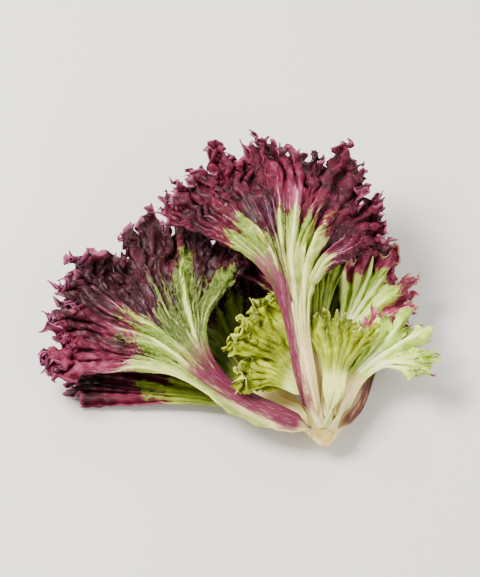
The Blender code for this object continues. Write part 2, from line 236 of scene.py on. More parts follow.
# How each leaf looks, beyond its solid's form. Lists run from the leaf's left edge to its right edge
#   red_from: where along the leaf the red begins
#   petiole_red: how streaked with magenta the petiole is
#   pale: how strongly the veins stand out in colour
#   ridges: large folds, as (place across, height, half width, lean to the left)
#   clefts: cuts between lobes, as (place across, depth, half width)
#   fine: values of LEAVES that differ on the fine leaf
#   ruffled, quilted, veined: ruffles, pockets and veins as a share of their usual depth
#   calm: between which places across the margin turns smooth, and a leaf with it gets painted light towards
#       its left edge
#   winged: wing beside the petiole, as (side, reach, where along it begins, where it ends)
#   bands: where along the leaf its sheet turns finer
#   mottle, dark, blushed: red flecks all over, painted shade over the whole leaf (painted light where it is
#   below 0), where the magenta streaks end
# The heart's leaves have no red, so theirs would begin past the margin
NO_RED = dict(red_from=(1.2,) * 5, petiole_red=(0.0,) * 5)
LOOKS = {
    "leaf_top": dict(
        red_from=(0.74, 0.72, 0.68, 0.68, 0.54), petiole_red=(1.0, 0.95, 0.5, 0.05, 0.0), pale=1.0,
        ridges=(
            (0.95, 3.0, 5.0, -0.3), (0.64, 6.5, 4.2, -0.6), (0.40, 2.5, 2.6, -0.8), (0.13, 4.5, 3.4, 0.5),
            (-0.04, 6.0, 3.0, 0.0), (-0.27, 6.5, 3.6, 0.6), (-0.53, 6.0, 4.0, 0.7), (-0.86, 5.5, 5.0, 0.3),
        ),
        clefts=((0.80, 0.03, 0.05), (-0.14, 0.03, 0.03), (-0.60, 0.08, 0.05)),
        fine=dict(reach=(0.92, 1.02, 1.0, 0.91, 0.55), frill=(12, 2.0), width=6.8),
        mottle=0.30, blushed=0.78, dark=0.05,
    ),
    "leaf_left": dict(
        red_from=(0.74, 0.66, 0.72, 0.87, 0.92), petiole_red=(0.5, 0.95, 1.0, 1.0, 1.0), pale=0.85,
        ridges=(
            (0.97, 4.0, 5.0, -0.2), (0.40, 7.0, 8.0, -0.4), (0.05, 4.0, 3.5, -0.4), (-0.28, 2.5, 2.6, 0.4),
            (-0.56, 4.5, 3.4, -0.7), (-0.93, 3.0, 5.0, 0.3),
        ),
        clefts=((0.72, 0.05, 0.05), (0.15, 0.04, 0.04), (-0.22, 0.05, 0.05), (-0.76, 0.05, 0.05)),
        fine=dict(frill=(11, 2.5), reach=(0.84, 0.95, 1.03, 1.0, 0.72)),
        mottle=0.16, blushed=0.60, dark=0.20,
        winged=(1, 3.6, 0.05, 0.38), bands=(0.02, 0.10, 0.52, 0.74, 0.90),
    ),
    "leaf_under_left": dict(
        red_from=(0.66, 0.62, 0.62, 0.58, 0.55), petiole_red=(0.1, 0.1, 0.2, 0.2, 0.2), pale=0.4, dark=-0.03,
        fine=dict(reach=(0.88, 0.95, 1.0, 1.0, 0.85), spread=(13, 50)), ruffled=0.7, calm=(0.1, 0.75),
    ),
    "leaf_under_middle": dict(
        red_from=(0.95, 0.9, 0.8, 0.8, 0.8), petiole_red=(0.0, 0.0, 0.1, 0.1, 0.1), pale=0.6,
    ),
    "leaf_under_top": dict(
        red_from=(0.60, 0.62, 0.66, 0.62, 0.60), petiole_red=(0.2, 0.2, 0.3, 0.2, 0.2), pale=0.7,
    ),
    "leaf_under_right": dict(
        red_from=(0.60, 0.62, 0.66, 0.62, 0.60), petiole_red=(0.2, 0.3, 0.6, 0.8, 0.8), pale=0.7,
    ),
    "leaf_right": dict(
        red_from=(0.82, 0.90, 1.02, 1.04, 1.02), petiole_red=(0.1, 0.0, 0.0, 0.0, 0.0), pale=1.0,
        fine=dict(heading=(82, 27), spread=(72, 58), reach=(0.85, 1.05, 1.12, 0.97, 0.6), frill=(6, 2.0)),
        clefts=((0.50, 0.14, 0.06), (0.16, 0.28, 0.05), (-0.16, 0.30, 0.06), (-0.55, 0.20, 0.07)),
        ruffled=0.5, veined=0.7,
    ),
    "leaf_right_back": dict(
        red_from=(0.84, 0.80, 0.80, 0.80, 0.80), petiole_red=(0.0, 0.0, 0.0, 0.0, 0.0), pale=1.0,
        fine=dict(blade=58, heading=(90, 60), reach=(1.05, 1.22, 1.15, 0.97, 0.6)), ruffled=0.75, veined=0.8,
    ),
    "leaf_inner_top": dict(
        red_from=(0.62, 0.66, 0.72, 0.70, 0.66), petiole_red=(0.1, 0.1, 0.1, 0.1, 0.1), pale=0.5,
    ),
    "leaf_middle_top": dict(
        red_from=(0.70, 0.72, 0.74, 0.72, 0.70), petiole_red=(0.1, 0.1, 0.1, 0.1, 0.1), pale=0.7,
    ),
    "heart_right": dict(
        NO_RED, pale=0.5, quilted=0.1, ruffled=0.3, veined=0.4,
        fine=dict(width=7, petiole=14, blade=44, spread=(36, 44), pleats=(2, 0.8), frill=(4, 0.8)),
    ),
    "heart_front": dict(
        NO_RED, pale=0.4, quilted=0.3,
        fine=dict(width=9, heading=(160, 146), spread=(50, 60), reach=(0.8, 1.0, 0.9), pleats=(3, 0.5)),
    ),
    "heart_middle": dict(
        NO_RED, pale=0.4, quilted=0.3,
        fine=dict(width=11, petiole=6, blade=48, spread=(52, 34), pleats=(3, 0.5)),
    ),
    "heart_left": dict(NO_RED, pale=0.4),
}

# Added to a leaf's seed for each pattern on it, so that no two of them run alike
SEEDS = dict(veins=77, teeth=3.7, ruffles=5.3, red=9, tip_up=31, tip_aside=33, drift=41, clouds=51, wing=61)

# Random relief: bumps are between these shares of the pitch, and so many waves add up to it
BUMP_SIZES = (0.8, 1.7)
BUMP_WAVES = 9
SEED_STEPS = 1000

# Fine sheet: its directions are found over this step, its folds drift by this much across over this pitch,
# and its margin runs on a little past the solid's, where it also gets its cuts
SMALL_STEP = 0.004
DRIFT = 0.05
DRIFT_PITCH = 30.0
DRIFT_GROWS = (0.35, 0.6)
VEIN_DRIFT = 0.5
BLADE_OPENS = (0.28, 0.5)
REACH_OVER = 0.038
MARGIN_STRETCHES = (0.70, 1.0)
CALMED = 0.85

# Clefts and teeth of the margin: teeth as (pitch, depth); their spacing wanders and their depth changes
# over so many teeth, between the limits; their tips curl over these pitches
CLEFT_SIDES = 1.2
TEETH = ((19.0, 4.0), (7.2, 5.0), (3.4, 3.6))
HEART_TEETH = ((12.0, 3.5), (5.0, 3.0), (2.8, 2.0))
TOOTH_SHARP = 0.85
TOOTH_WANDER = 0.7
TEETH_A_WANDER = 5.0
TOOTH_DEPTH = 0.7
TOOTH_VARIES = 0.45
TEETH_A_CHANGE = 2.5
TOOTH_LIMITS = (0.1, 1.5)
TIPS_CURL = (0.93, 1.0)
TIP_PITCH = 9.0
TIP_ASIDE = 0.6
TIP_ASIDE_PITCH = 6.0

# Ruffles: (pitch, depth, where along the leaf they begin); their spacing wanders, they turn towards the
# margin, their depth varies between the limits, and each leans over its neighbour and curls at its crest
RUFFLES = ((16.0, 3.6, 0.68), (7.2, 2.5, 0.86), (3.5, 1.3, 0.94))
HEART_RUFFLES = ((11.0, 4.2, 0.25), (5.0, 2.4, 0.62), (2.6, 1.1, 0.82))
RUFFLES_FULL = 1.03
RUFFLE_WANDER = 2.2
RUFFLE_TURN = 4.0
RUFFLE_DEPTH = 0.85
RUFFLE_VARIES = 0.5
RUFFLE_LIMITS = (0.25, 1.7)
OVERHANG = 0.13
CURL = 0.45
CURL_PHASE = 0.8
RUFFLE_SHADE = 0.4

# Large folds: rounding of their crests and steepness of their sides; the blade between them sinks, and
# they bulge over it; they grow by the petiole's end and die out towards the margin
FOLD_CREST = 0.2
FOLD_SIDES = 1.25
FOLD_BULGE = 0.25
FOLDS_SINK = 0.35
FOLDS_GROW = (0.34, 0.62)
FOLDS_FADE = (0.56, 0.88)
FOLDS_LOST = 0.9
# Crests: the fold height of a full crest and its limits; furrows get this much more painted shade, the margin
# loses this much of the painted highlight and shade, and pleats paint shade by this much
CREST_HEIGHT = 3.0
CREST_LIMITS = (-0.8, 1.0)
FURROW_SHADE = 2.2
CREST_LOST = 0.5
PLEAT_SHADE = 0.5

# Veins: how strong each kind is. The main ones stand on pleats or on folds higher than this, so far apart
# across; side veins leave them later the nearer they run, and reach the margin so many mm apart; the
# finest run between two others. A branch bends away and is fully apart after this part of the leaf
VEIN_STRENGTH = dict(midrib=1.0, main=0.75, side=0.42, fine=0.25)
CREST_PLACES = 2001
CREST_TOP = 0.97
MAIN_FOLD = 3.5
MAIN_VEINS_APART = 0.16
MAIN_VEIN_SHOWS = 0.08
LEAF_EDGE = 1.04
SIDE_VEINS_APART = 13.0
SIDE_VEIN_STRAYS = 0.25
SIDE_VEIN_LEAVES = 0.03
SIDE_VEIN_LATER = 0.30
SIDE_VEIN_NEAR = 0.16
SIDE_VEIN_UNEVEN = 0.05
FINE_VEIN_BETWEEN = (0.35, 0.65)
FINE_VEIN_LEAVES = (0.2, 0.42)
BRANCH_LENGTH = 0.34
BRANCH_BEND = 1.8
BRANCH_SHOWS = (-0.01, 0.05)

# Relief of the veins: the weakest vein's width, height and reach as shares of the midrib's; veins thin
# out and sink towards the margin; the tissue between them sinks into pockets and has blisters
WEAK_WIDTH = 0.35
WEAK_HEIGHT = 0.2
WEAK_REACH = 0.3
VEIN_AT_BASE = 1.25
VEIN_THINS = 0.9
VEINS_SINK = (0.7, 0.97)
VEINS_LOST = 0.8
VEINS_LOWER = 0.5
POCKET_WIDTH = 4.2
POCKET_SIDES = 1.5
POCKET_LEVEL = 0.45
BLISTER_PITCH = 7.0

# Wing beside a petiole: pitch of its teeth, how much of it they leave, how they vary, how fast it grows and
# ends, and how it waves up and down
WING_TOOTH = 4.2
WING_WHOLE = 0.55
WING_TOOTH_WANDER = 9.0
WING_DEPTH = 0.8
WING_VARIES = 0.5
WING_CHANGE = 14.0
WING_GROWS = 0.08
WING_ENDS = 0.1
WING_STARTS_ACROSS = 0.7
WING_WAVE = 0.5
WING_WAVE_PITCH = 0.07

# Heel: the petiole runs on below its base by this part of the leaf, wraps round the stem at this height of
# its axis, and bends towards it by this share of the gap. Waves flatten against the floor below this height
HEEL = 0.07
HEEL_MEETS = (52.6, -112.0, 20.3)
HEEL_RADIUS = 7.0
HEEL_WIDTH = 7.5
HEEL_BEND = 0.45
FLOOR_SOFT = 3.0

# Tone of the tissue with painted shade and highlight, from 0 in the deepest folds to 1 on crests: the
# middle, and how much veins, folds, ruffles, slow clouds, a wing and a calm margin change it, and where
# along the leaf. Pockets between veins and the furrows and troughs of folds and ruffles get painted shade,
# their crests painted highlight and a calm margin's side painted light; clouds and the wing are the
# tissue's own tone
SHADE_AND_TONE = dict(middle=0.42, veins=0.30, folds=0.2, ruffles=0.22, clouds=0.12, wing=0.42, calm=0.22)
TONE_OPENS = (0.3, 0.55)
FOLD_SHADE_FADES = (0.55, 0.8)
FOLD_SHADE_LOST = 0.8
CLOUD_PITCH = 38.0
CALM_PAINTED_LIGHT = (0.3, 0.9)

# Red of the blade: its border is this wide, strays over this pitch, and lies deeper in furrows
RED_BORDER = 0.15
RED_STRAYS = 0.05
RED_PITCH = 22.0
RED_IN_FURROWS = 0.11
RED_LEVEL = 0.2
MOTTLE_OPENS = (0.36, 0.5)

# Petiole's colours: cream that ends where the blade opens, streaks of magenta that end a little further,
# and a wing that is green right up to its foot
BLUSH_FADES = (0.36, 0.6)
CREAM_FADES = (0.22, 0.38)
WING_GREENS = (0.35, 0.95)
WING_GREENS_ALONG = (0.06, 0.16)
WING_REACHES = (0.2, 1.5)
WING_CREAM_LOST = 0.7
EDGE_CREAM_LOST = 0.55
EDGE_BLUSH_LOST = 0.9
RIM_SHOWS = (0.975, 1.0)
NET_SHOWS = (0.32, 0.46)

# Patterns of the materials, in mm: a chart's unit, clouds in the tissue, streaks of red along the veins,
# fibres of a petiole and cells of the net of finest veins as (width, length), patches and grain of the stem
CHART_UNIT = 100.0
CLOUDS = 7.7
STREAKS = (1.43, 14.3)
FIBRES = (1.33, 16.7)
NET_CELLS = (2.94, 5.9)
STEM_PATCHES = 5.0
STEM_GRAIN = 1.1
RAMP_PLACES = dict(dark=0.12, middle=0.5, light=0.88)

# How deep light goes into the tissue, in metres, how far each colour spreads of that, and the relief of the
# finest bumps, in metres
GLOW_DEPTH = 0.002
LEAF_GLOW = (0.9, 0.6, 0.3)
STEM_GLOW = (1.0, 0.8, 0.5)
LEAF_BUMP = 0.0006
STEM_BUMP = 0.0005

# Sockets of a Mix node that mixes colours, whose names repeat
SHARE, UNDER, OVER, MIXED = 0, 6, 7, 2


def linear(hex_code):
    """Linear colour of an sRGB hex value."""
    parts = [int(hex_code[i:i + 2], 16) / 255 for i in (0, 2, 4)]
    return [c / 12.92 if c <= 0.04045 else ((c + 0.055) / 1.055) ** 2.4 for c in parts]


def length(name, millimetres, description):
    """Setting held in metres, given in millimetres."""
    return bpy.props.FloatProperty(
        name=name, description=description, default=millimetres * MM, min=0.0, precision=5, unit="LENGTH")


def share_of(name, share, description):
    """Setting that is a share of the usual amount."""
    return bpy.props.FloatProperty(
        name=name, description=description, default=share, min=0.0, max=2.0, subtype="FACTOR")


def colour(name, hex_code, description):
    """Colour setting, given as an sRGB hex value."""
    return bpy.props.FloatVectorProperty(
        name=name, description=description, default=linear(hex_code), size=3, min=0.0, max=1.0,
        subtype="COLOR")


def tone_group(name, contents, tones, hex_codes):
    """PropertyGroup that holds a colour setting for each of the tones."""
    settings = {tone: colour(label, code, words) for (tone, label, words), code in zip(tones, hex_codes)}
    return type(name, (bpy.types.PropertyGroup,), {"__doc__": contents, "__annotations__": settings})


class LETTUCE_PG_sizes(bpy.types.PropertyGroup):
    """Sizes of the leaves and of the stem"""
    blade_thickness: length("Blade thickness", 0.6, "Thickness of a leaf away from its midrib")
    vein_width: length("Vein width", 0.85, "Half the width of the line that a midrib raises")
    vein_height: length("Vein height", 0.8, "How far a midrib stands above the blade")
    pocket_depth: length("Pocket depth", 1.2, "How far the blade sinks between its veins")
    blister_height: length("Blister height", 0.55, "Height of the small blisters between the veins")
    tooth_curl: length("Tooth curl", 2.2, "How far the tips of the teeth curl up or down")
    ruffles: share_of("Ruffles", 1.0, "Depth of the margin's ruffles, as a share of this head's own")
    teeth: share_of("Teeth", 1.0, "Depth of the notches between teeth, as a share of this head's own")
    stem_lumps: length("Stem lumps", 0.2, "How uneven the skin of the stem is")
    cut_rounding: length("Cut edge", 0.9, "Rounding of the edge round the stem's cut")


# Dark tones are painted shade in folds, pockets and the troughs of ruffles, light tones painted highlight on
# crests; middle, vein and rim tones are the tissue's own colour
LEAF_TONES = (
    ("green_dark", "Green in folds", "Green tissue deep between folds"),
    ("green_middle", "Green", "Green tissue of the blade"),
    ("green_light", "Green on crests", "Green tissue on the crests of folds"),
    ("red_dark", "Red in folds", "Red tissue deep between folds"),
    ("red_middle", "Red", "Red tissue of the margin"),
    ("red_light", "Red on crests", "Red tissue on the crests of ruffles"),
    ("vein_green", "Veins in green", "Veins in the green tissue"),
    ("vein_red", "Veins in red", "Veins in the red tissue"),
    ("rim", "Rim", "The margin's own edge"),
)
PETIOLE_TONES = (
    ("cream_dark", "Cream in furrows", "Furrows between the fibres of a stalk"),
    ("cream_middle", "Cream", "Skin of a stalk"),
    ("cream_light", "Cream on ribs", "Ribs along a stalk"),
    ("blush_dark", "Flush in furrows", "Deepest magenta of the streaks"),
    ("blush_middle", "Flush", "Magenta of the streaks"),
    ("blush_light", "Flush on ribs", "Faint magenta at the ends of streaks"),
)

LETTUCE_PG_red_back = tone_group(
    "LETTUCE_PG_red_back", "Underside of the red leaves, which is up on the top leaves", LEAF_TONES,
    ("344808", "6A8424", "AEC05C", "24060C", "5C0E28", "9C4A6C", "DCDA8C", "B06890", "AE5A86"))
LETTUCE_PG_red_face = tone_group(
    "LETTUCE_PG_red_face", "Upper side of the red leaves, darker and glossier than the underside", LEAF_TONES,
    ("425608", "76881A", "9CAC38", "1A0308", "480A20", "7E1E40", "A8B048", "782A46", "A84470"))
LETTUCE_PG_green_back = tone_group(
    "LETTUCE_PG_green_back", "Underside of the green leaves", LEAF_TONES,
    ("86AA10", "CDE65A", "E8FA98", "5C1028", "A03058", "D080A2", "ECF6B0", "DDA0AE", "DCC090"))
LETTUCE_PG_green_face = tone_group(
    "LETTUCE_PG_green_face", "Upper side of the green leaves", LEAF_TONES,
    ("5E820C", "9CC034", "CEE676", "500A20", "8A244A", "B45278", "DCE8A0", "C08A8A", "CFC08A"))
LETTUCE_PG_heart = tone_group(
    "LETTUCE_PG_heart", "Leaves of the heart, pale because little light reaches them", LEAF_TONES,
    ("465000", "8A9600", "DAD834", "5C102A", "962E54", "BC5A7E", "E4E66C", "C08A8A", "E2E46A"))
LETTUCE_PG_petioles = tone_group(
    "LETTUCE_PG_petioles", "Leaf stalks: cream, and flushed with magenta in streaks", PETIOLE_TONES,
    ("C49C56", "F0DA98", "FFF0CC", "300818", "601E38", "AE6E7C"))
LETTUCE_PG_heart_petioles = tone_group(
    "LETTUCE_PG_heart_petioles", "Stalks of the heart's leaves, greener than the outer ones", PETIOLE_TONES,
    ("B4BE4A", "D4DC78", "ECEEA8", "300818", "601E38", "AE6E7C"))


class LETTUCE_PG_stem(bpy.types.PropertyGroup):
    """Cut stem: its skin and its dried cut"""
    skin_dark: colour("Skin in furrows", "C09A4C", "Furrows between the fibres of the skin")
    skin_middle: colour("Skin", "F6E4AC", "Skin of the stem")
    skin_light: colour("Skin on ribs", "FFF6D0", "Ribs along the skin")
    cut_dark: colour("Dry pith", "B07C20", "Spots where the cut has browned")
    cut_middle: colour("Pith", "ECCC62", "The cut's drying pith")
    cut_light: colour("Fresh pith", "FFF6C8", "Spots of the cut that are still wet")


class LETTUCE_PG_stage(bpy.types.PropertyGroup):
    """Floor, light and camera"""
    floor: colour("Floor", "DAD9D6", "Plain pale floor")
    light: colour("Light", "FFFCF4", "Soft studio lights")
    light_strength: share_of("Light strength", 1.0, "Strength of the lights, as a share of this scene's own")
    camera_height: bpy.props.FloatProperty(
        name="Camera height", description="Angle above the horizon from which the camera looks at the head",
        default=math.radians(60.0), min=0.0, max=math.radians(90.0), subtype="ANGLE")


def ease(value, low, high):
    """0 below low, 1 above high, and a smooth rise between."""
    share = np.clip((value - low) / (high - low), 0, 1)
    return share * share * (3 - 2 * share)


def curve_through(values, share):
    """The height at each share, 0 to 1, of a smooth curve through evenly spaced values."""
    values = np.asarray(values, float)
    last = len(values) - 1
    place = np.clip(share, 0, 1) * last
    index = np.minimum(place.astype(int), last - 1)
    part = place - index
    padded = np.concatenate([[2 * values[0] - values[1]], values, [2 * values[-1] - values[-2]]])
    a, b, c, d = padded[index], padded[index + 1], padded[index + 2], padded[index + 3]
    return 0.5 * (2 * b + (c - a) * part + (2 * a - 5 * b + 4 * c - d) * part**2
                  + (3 * b - a - 3 * c + d) * part**3)


def uneven_phase(across, count, seed):
    """Phase of a wave with that many half turns from the middle to an edge, and crests of uneven width."""
    wander = sum(size * np.sin(waves * math.pi * across + share * seed) for size, waves, share in WANDER)
    return math.pi * (count * across + WANDER_WAVES * wander)


def vein_heading(leaf, along, across):
    """Direction, in radians, of the vein at that place on the leaf."""
    start, end = leaf["heading"]
    midrib = curve_through([start, (start + end) / 2, end, end, end], along)
    opening = leaf["petiole"] / (leaf["petiole"] + leaf["blade"])
    spread = np.where(across > 0, leaf["spread"][0], leaf["spread"][1])
    return np.radians(midrib + across * spread * ease(along, FAN_STARTS * opening, opening + FAN_ENDS))


def vein_reach(leaf, across):
    """Each vein's length in the blade as a share of the midrib's, with the lobes of the margin."""
    lobes = np.sin(uneven_phase(across, LOBE_SHARE * leaf["frill"][0], leaf["seed"] + LOBE_SEED))
    return curve_through(leaf["reach"], (1 - across) / 2) * (1 + LOBE_DEPTH * lobes)


def plan(leaf, along, across):
    """Where the veins lead, seen from above."""
    opening = leaf["petiole"] / (leaf["petiole"] + leaf["blade"])
    reach = vein_reach(leaf, across)
    step = (np.arange(STREAM_STEPS) + 0.5) / STREAM_STEPS
    passed = step[None, :] * along[:, None]
    in_blade = (leaf["blade"] * reach / (1 - opening))[:, None]
    pace = np.where(passed < opening, leaf["petiole"] / opening, in_blade)
    heading = vein_heading(leaf, passed, across[:, None])
    share = along[:, None] / STREAM_STEPS
    first = math.radians(leaf["heading"][0])
    aside = across * leaf["width"] * (BASE_WIDTH + (1 - BASE_WIDTH) * ease(along, 0.0, BASE_ENDS))
    x = leaf["base"][0] - math.sin(first) * aside + (np.cos(heading) * pace * share).sum(1)
    y = leaf["base"][1] + math.cos(first) * aside + (np.sin(heading) * pace * share).sum(1)
    return x, y


def leaf_surface(leaf, along, across):
    """Points of the leaf's middle surface, in millimetres."""
    opening = leaf["petiole"] / (leaf["petiole"] + leaf["blade"])
    x, y = plan(leaf, along, across)
    z = curve_through(leaf["heights"], along)
    camber = np.where(across > 0, *leaf["camber"])
    z += camber * np.abs(across) ** CAMBER_POWER * ease(along, CAMBER_STARTS, 1.0)
    z += (leaf["tilt"] * across - leaf["crown"] * across**2) * (1 - ease(along, *SECTION_FADES))
    count, depth = leaf["pleats"]
    pleat = depth * ease(along, PLEATS_START * opening, opening + PLEATS_FULL)
    pleat = pleat * (1 - PLEATS_SOFTEN[0] * ease(along, PLEATS_SOFTEN[1], 1.0))
    z += leaf["back"] * pleat * np.cos(uneven_phase(across, count, leaf["seed"]))
    count, depth = leaf["frill"]
    phase = uneven_phase(across, count, FRILL_SEED[0] * leaf["seed"] + FRILL_SEED[1])
    phase = phase + FRILL_TURN * (along - FRILL_GROWS[0]) * np.sin(leaf["seed"] + FRILL_TURN_WAVES * across)
    grown = ease(along, *FRILL_GROWS)
    z += depth * grown * np.sin(phase)
    spread = np.radians(np.where(across > 0, *leaf["spread"]))
    pitch = spread * leaf["blade"] * vein_reach(leaf, across) / count
    sway = -FRILL_LEAN * pitch * grown * np.sin(2 * phase)
    heading = vein_heading(leaf, along, across)
    x = x - np.sin(heading) * sway
    y = y + np.cos(heading) * sway
    return np.stack([x, y, np.maximum(z, FLOOR_CLEAR)], 1)


def rough(x, y, pitch, seed):
    """Smooth random relief of about -1 to 1, with bumps of about that pitch."""
    rng = np.random.default_rng(int(seed * SEED_STEPS))
    total = np.zeros_like(x)
    for _ in range(BUMP_WAVES):
        turn, phase = rng.uniform(0, 2 * math.pi, 2)
        rate = 2 * math.pi / (pitch * rng.uniform(*BUMP_SIZES))
        total += np.sin(rate * (x * math.cos(turn) + y * math.sin(turn)) + phase)
    return total / math.sqrt(BUMP_WAVES)


def unit(vectors):
    """The vectors, one a row, at length 1."""
    return vectors / np.maximum(np.linalg.norm(vectors, axis=1, keepdims=True), 1e-9)


def margin_length(leaf):
    """Length of the leaf's margin in mm, without its waves."""
    return math.radians(sum(leaf["spread"])) * leaf["blade"] + 2 * leaf["width"]


def margin_cut(leaf, look, sizes, teeth, across):
    """Share of a vein's length that clefts between lobes and notches between teeth take away, and how
    much of a tooth's tip there is."""
    cut = np.zeros_like(across)
    tip = np.zeros_like(across)
    for place, depth, width in look.get("clefts", ()):
        cut += depth * np.exp(-np.abs((across - place) / width) ** CLEFT_SIDES)
    for number, (pitch, depth) in enumerate(teeth):
        seed = leaf["seed"] + SEEDS["teeth"] * number
        waves = margin_length(leaf) / pitch
        wander = TOOTH_WANDER * rough(across * waves, 0.0, TEETH_A_WANDER, seed)
        uneven = TOOTH_DEPTH + TOOTH_VARIES * rough(across * waves, 0.0, TEETH_A_CHANGE, seed + 1)
        uneven = np.clip(uneven, *TOOTH_LIMITS)
        notch = np.abs(np.sin(math.pi / 2 * (waves * across + wander))) ** TOOTH_SHARP
        cut += sizes.teeth * depth / leaf["blade"] * uneven * notch
        tip += (1 - notch) * uneven / len(teeth)
    return cut, tip


def leaf_ground(leaf, place, across):
    """Smooth sheet that the folds stand on: its points, its directions to the left, ahead and up, and how
    many mm wide it is per unit across."""
    points = leaf_surface(leaf, place, across)
    left = leaf_surface(leaf, place, across + SMALL_STEP) - points
    ahead = leaf_surface(leaf, place + SMALL_STEP, across) - points
    return SimpleNamespace(
        place=place, across=across, points=points, x=points[:, 0], y=points[:, 1],
        left=unit(left), ahead=unit(ahead), up=unit(np.cross(unit(ahead), unit(left))),
        wide=np.linalg.norm(left, axis=1) / SMALL_STEP,
    )


def ridge_folds(look, at):
    """Height of the large folds in mm, and how far they lean and bulge to the left."""
    height = np.zeros_like(at.along)
    aside = np.zeros_like(at.along)
    for place, tall, width, lean in look["ridges"]:
        away = (at.across + at.drift - place) * at.wide / width
        shape = np.exp(-(np.sqrt(away**2 + FOLD_CREST**2) - FOLD_CREST) ** FOLD_SIDES)
        height += tall * shape
        aside += tall * shape * (lean + FOLD_BULGE * away)
    deepest = FOLDS_SINK * max(tall for _, tall, _, _ in look["ridges"])
    return height - deepest, aside


def large_folds(leaf, look, at):
    """How far the large folds raise and push aside each place, and how near a crest it is."""
    if "ridges" not in look:
        pleat = np.cos(uneven_phase(at.across, leaf["pleats"][0], leaf["seed"]))
        return 0.0, 0.0, PLEAT_SHADE * leaf["back"] * pleat
    height, aside = ridge_folds(look, at)
    faded = ease(at.along, *FOLDS_FADE)
    shown = ease(at.along, *FOLDS_GROW) * (1 - FOLDS_LOST * faded)
    crest = np.clip(height / CREST_HEIGHT, *CREST_LIMITS)
    crest = np.where(crest < 0, FURROW_SHADE * crest, crest) * (1 - CREST_LOST * faded)
    return height * shown, aside * shown, crest


def main_veins(leaf, look):
    """Where across the leaf its main veins stand: on its high folds, or else on its pleats."""
    main = sorted(place for place, tall, _, _ in look.get("ridges", ()) if tall > MAIN_FOLD)
    if main:
        return main
    places = np.linspace(-1, 1, CREST_PLACES)
    crest = np.cos(uneven_phase(places, leaf["pleats"][0], leaf["seed"]))
    for before, here, after, place in zip(crest, crest[1:], crest[2:], places[1:]):
        on_top = here > CREST_TOP and here >= max(before, after)
        if on_top and (not main or place - main[-1] > MAIN_VEINS_APART):
            main.append(place)
    return main or [0.0]


def vein_paths(leaf, look):
    """Veins as (across where it starts, across where it ends, place it leaves its parent, strength)."""
    rng = np.random.default_rng(int(leaf["seed"] * SEEDS["veins"]))
    opening = leaf["petiole"] / (leaf["petiole"] + leaf["blade"])
    main = main_veins(leaf, look)
    middle = min(main, key=abs)
    paths = []
    for place in main:
        kind = "midrib" if place == middle else "main"
        paths.append((place, place, opening - MAIN_VEIN_SHOWS, VEIN_STRENGTH[kind]))
    ends = [-LEAF_EDGE, *main, LEAF_EDGE]
    lines = list(main)
    for low, high in zip(ends, ends[1:]):
        count = max(1, int(round((high - low) * margin_length(leaf) / 2 / SIDE_VEINS_APART)))
        for step in range(count):
            strays = rng.uniform(-SIDE_VEIN_STRAYS, SIDE_VEIN_STRAYS)
            target = low + (high - low) * (step + 1 + strays) / (count + 1)
            parent = min(main, key=lambda vein: abs(vein - target))
            near = 1 - min(1.0, abs(target - parent) / SIDE_VEIN_NEAR)
            leaves_at = opening + SIDE_VEIN_LEAVES + SIDE_VEIN_LATER * near
            leaves_at += SIDE_VEIN_UNEVEN * rng.uniform(-1, 1)
            paths.append((parent, target, leaves_at, VEIN_STRENGTH["side"]))
            lines.append(target)
    lines.sort()
    for low, high in zip(lines, lines[1:]):
        target = low + (high - low) * rng.uniform(*FINE_VEIN_BETWEEN)
        parent = low if rng.uniform() < 0.5 else high
        paths.append((parent, target, opening + rng.uniform(*FINE_VEIN_LEAVES), VEIN_STRENGTH["fine"]))
    return paths


def by_strength(weakest, strength):
    """A vein's share of the midrib's size."""
    return weakest + (1 - weakest) * strength


def vein_field(leaf, look, sizes, at):
    """How much of a vein, and of the raised tissue beside it, there is at each place."""
    vein = np.zeros_like(at.place)
    raised = np.zeros_like(at.place)
    across = at.across + VEIN_DRIFT * at.drift
    for start, end, leaves_at, strength in vein_paths(leaf, look):
        passed = np.clip((at.place - leaves_at) / BRANCH_LENGTH, 0, 1)
        away = (across - start - (end - start) * (1 - (1 - passed) ** BRANCH_BEND)) * at.wide
        shown = ease(at.place, leaves_at + BRANCH_SHOWS[0], leaves_at + BRANCH_SHOWS[1])
        shown *= 1 - VEINS_LOST * ease(at.place, *VEINS_SINK)
        width = sizes.vein_width / MM * by_strength(WEAK_WIDTH, strength)
        width = width * (VEIN_AT_BASE - VEIN_THINS * at.place)
        vein = np.maximum(vein, by_strength(WEAK_HEIGHT, strength) * shown * np.exp(-(away / width) ** 2))
        beside = np.abs(away / (POCKET_WIDTH * by_strength(WEAK_REACH, strength))) ** POCKET_SIDES
        raised = np.maximum(raised, strength * np.sqrt(shown) * np.exp(-beside))
    return vein, raised


def quilted_blade(leaf, look, sizes, at):
    """Rise of the veins, of the pockets sunk between them and of the blisters in the pockets."""
    sunk = sizes.pocket_depth * look.get("quilted", 1.0) * (at.raised - POCKET_LEVEL) * at.blade
    veins = sizes.vein_height * look.get("veined", 1.0) * at.vein * (1 - VEINS_LOWER * at.along)
    blisters = sizes.blister_height * rough(at.x, at.y, BLISTER_PITCH, leaf["seed"])
    return (leaf["back"] * (veins + sunk) + blisters * at.blade * (1 - at.vein)) / MM


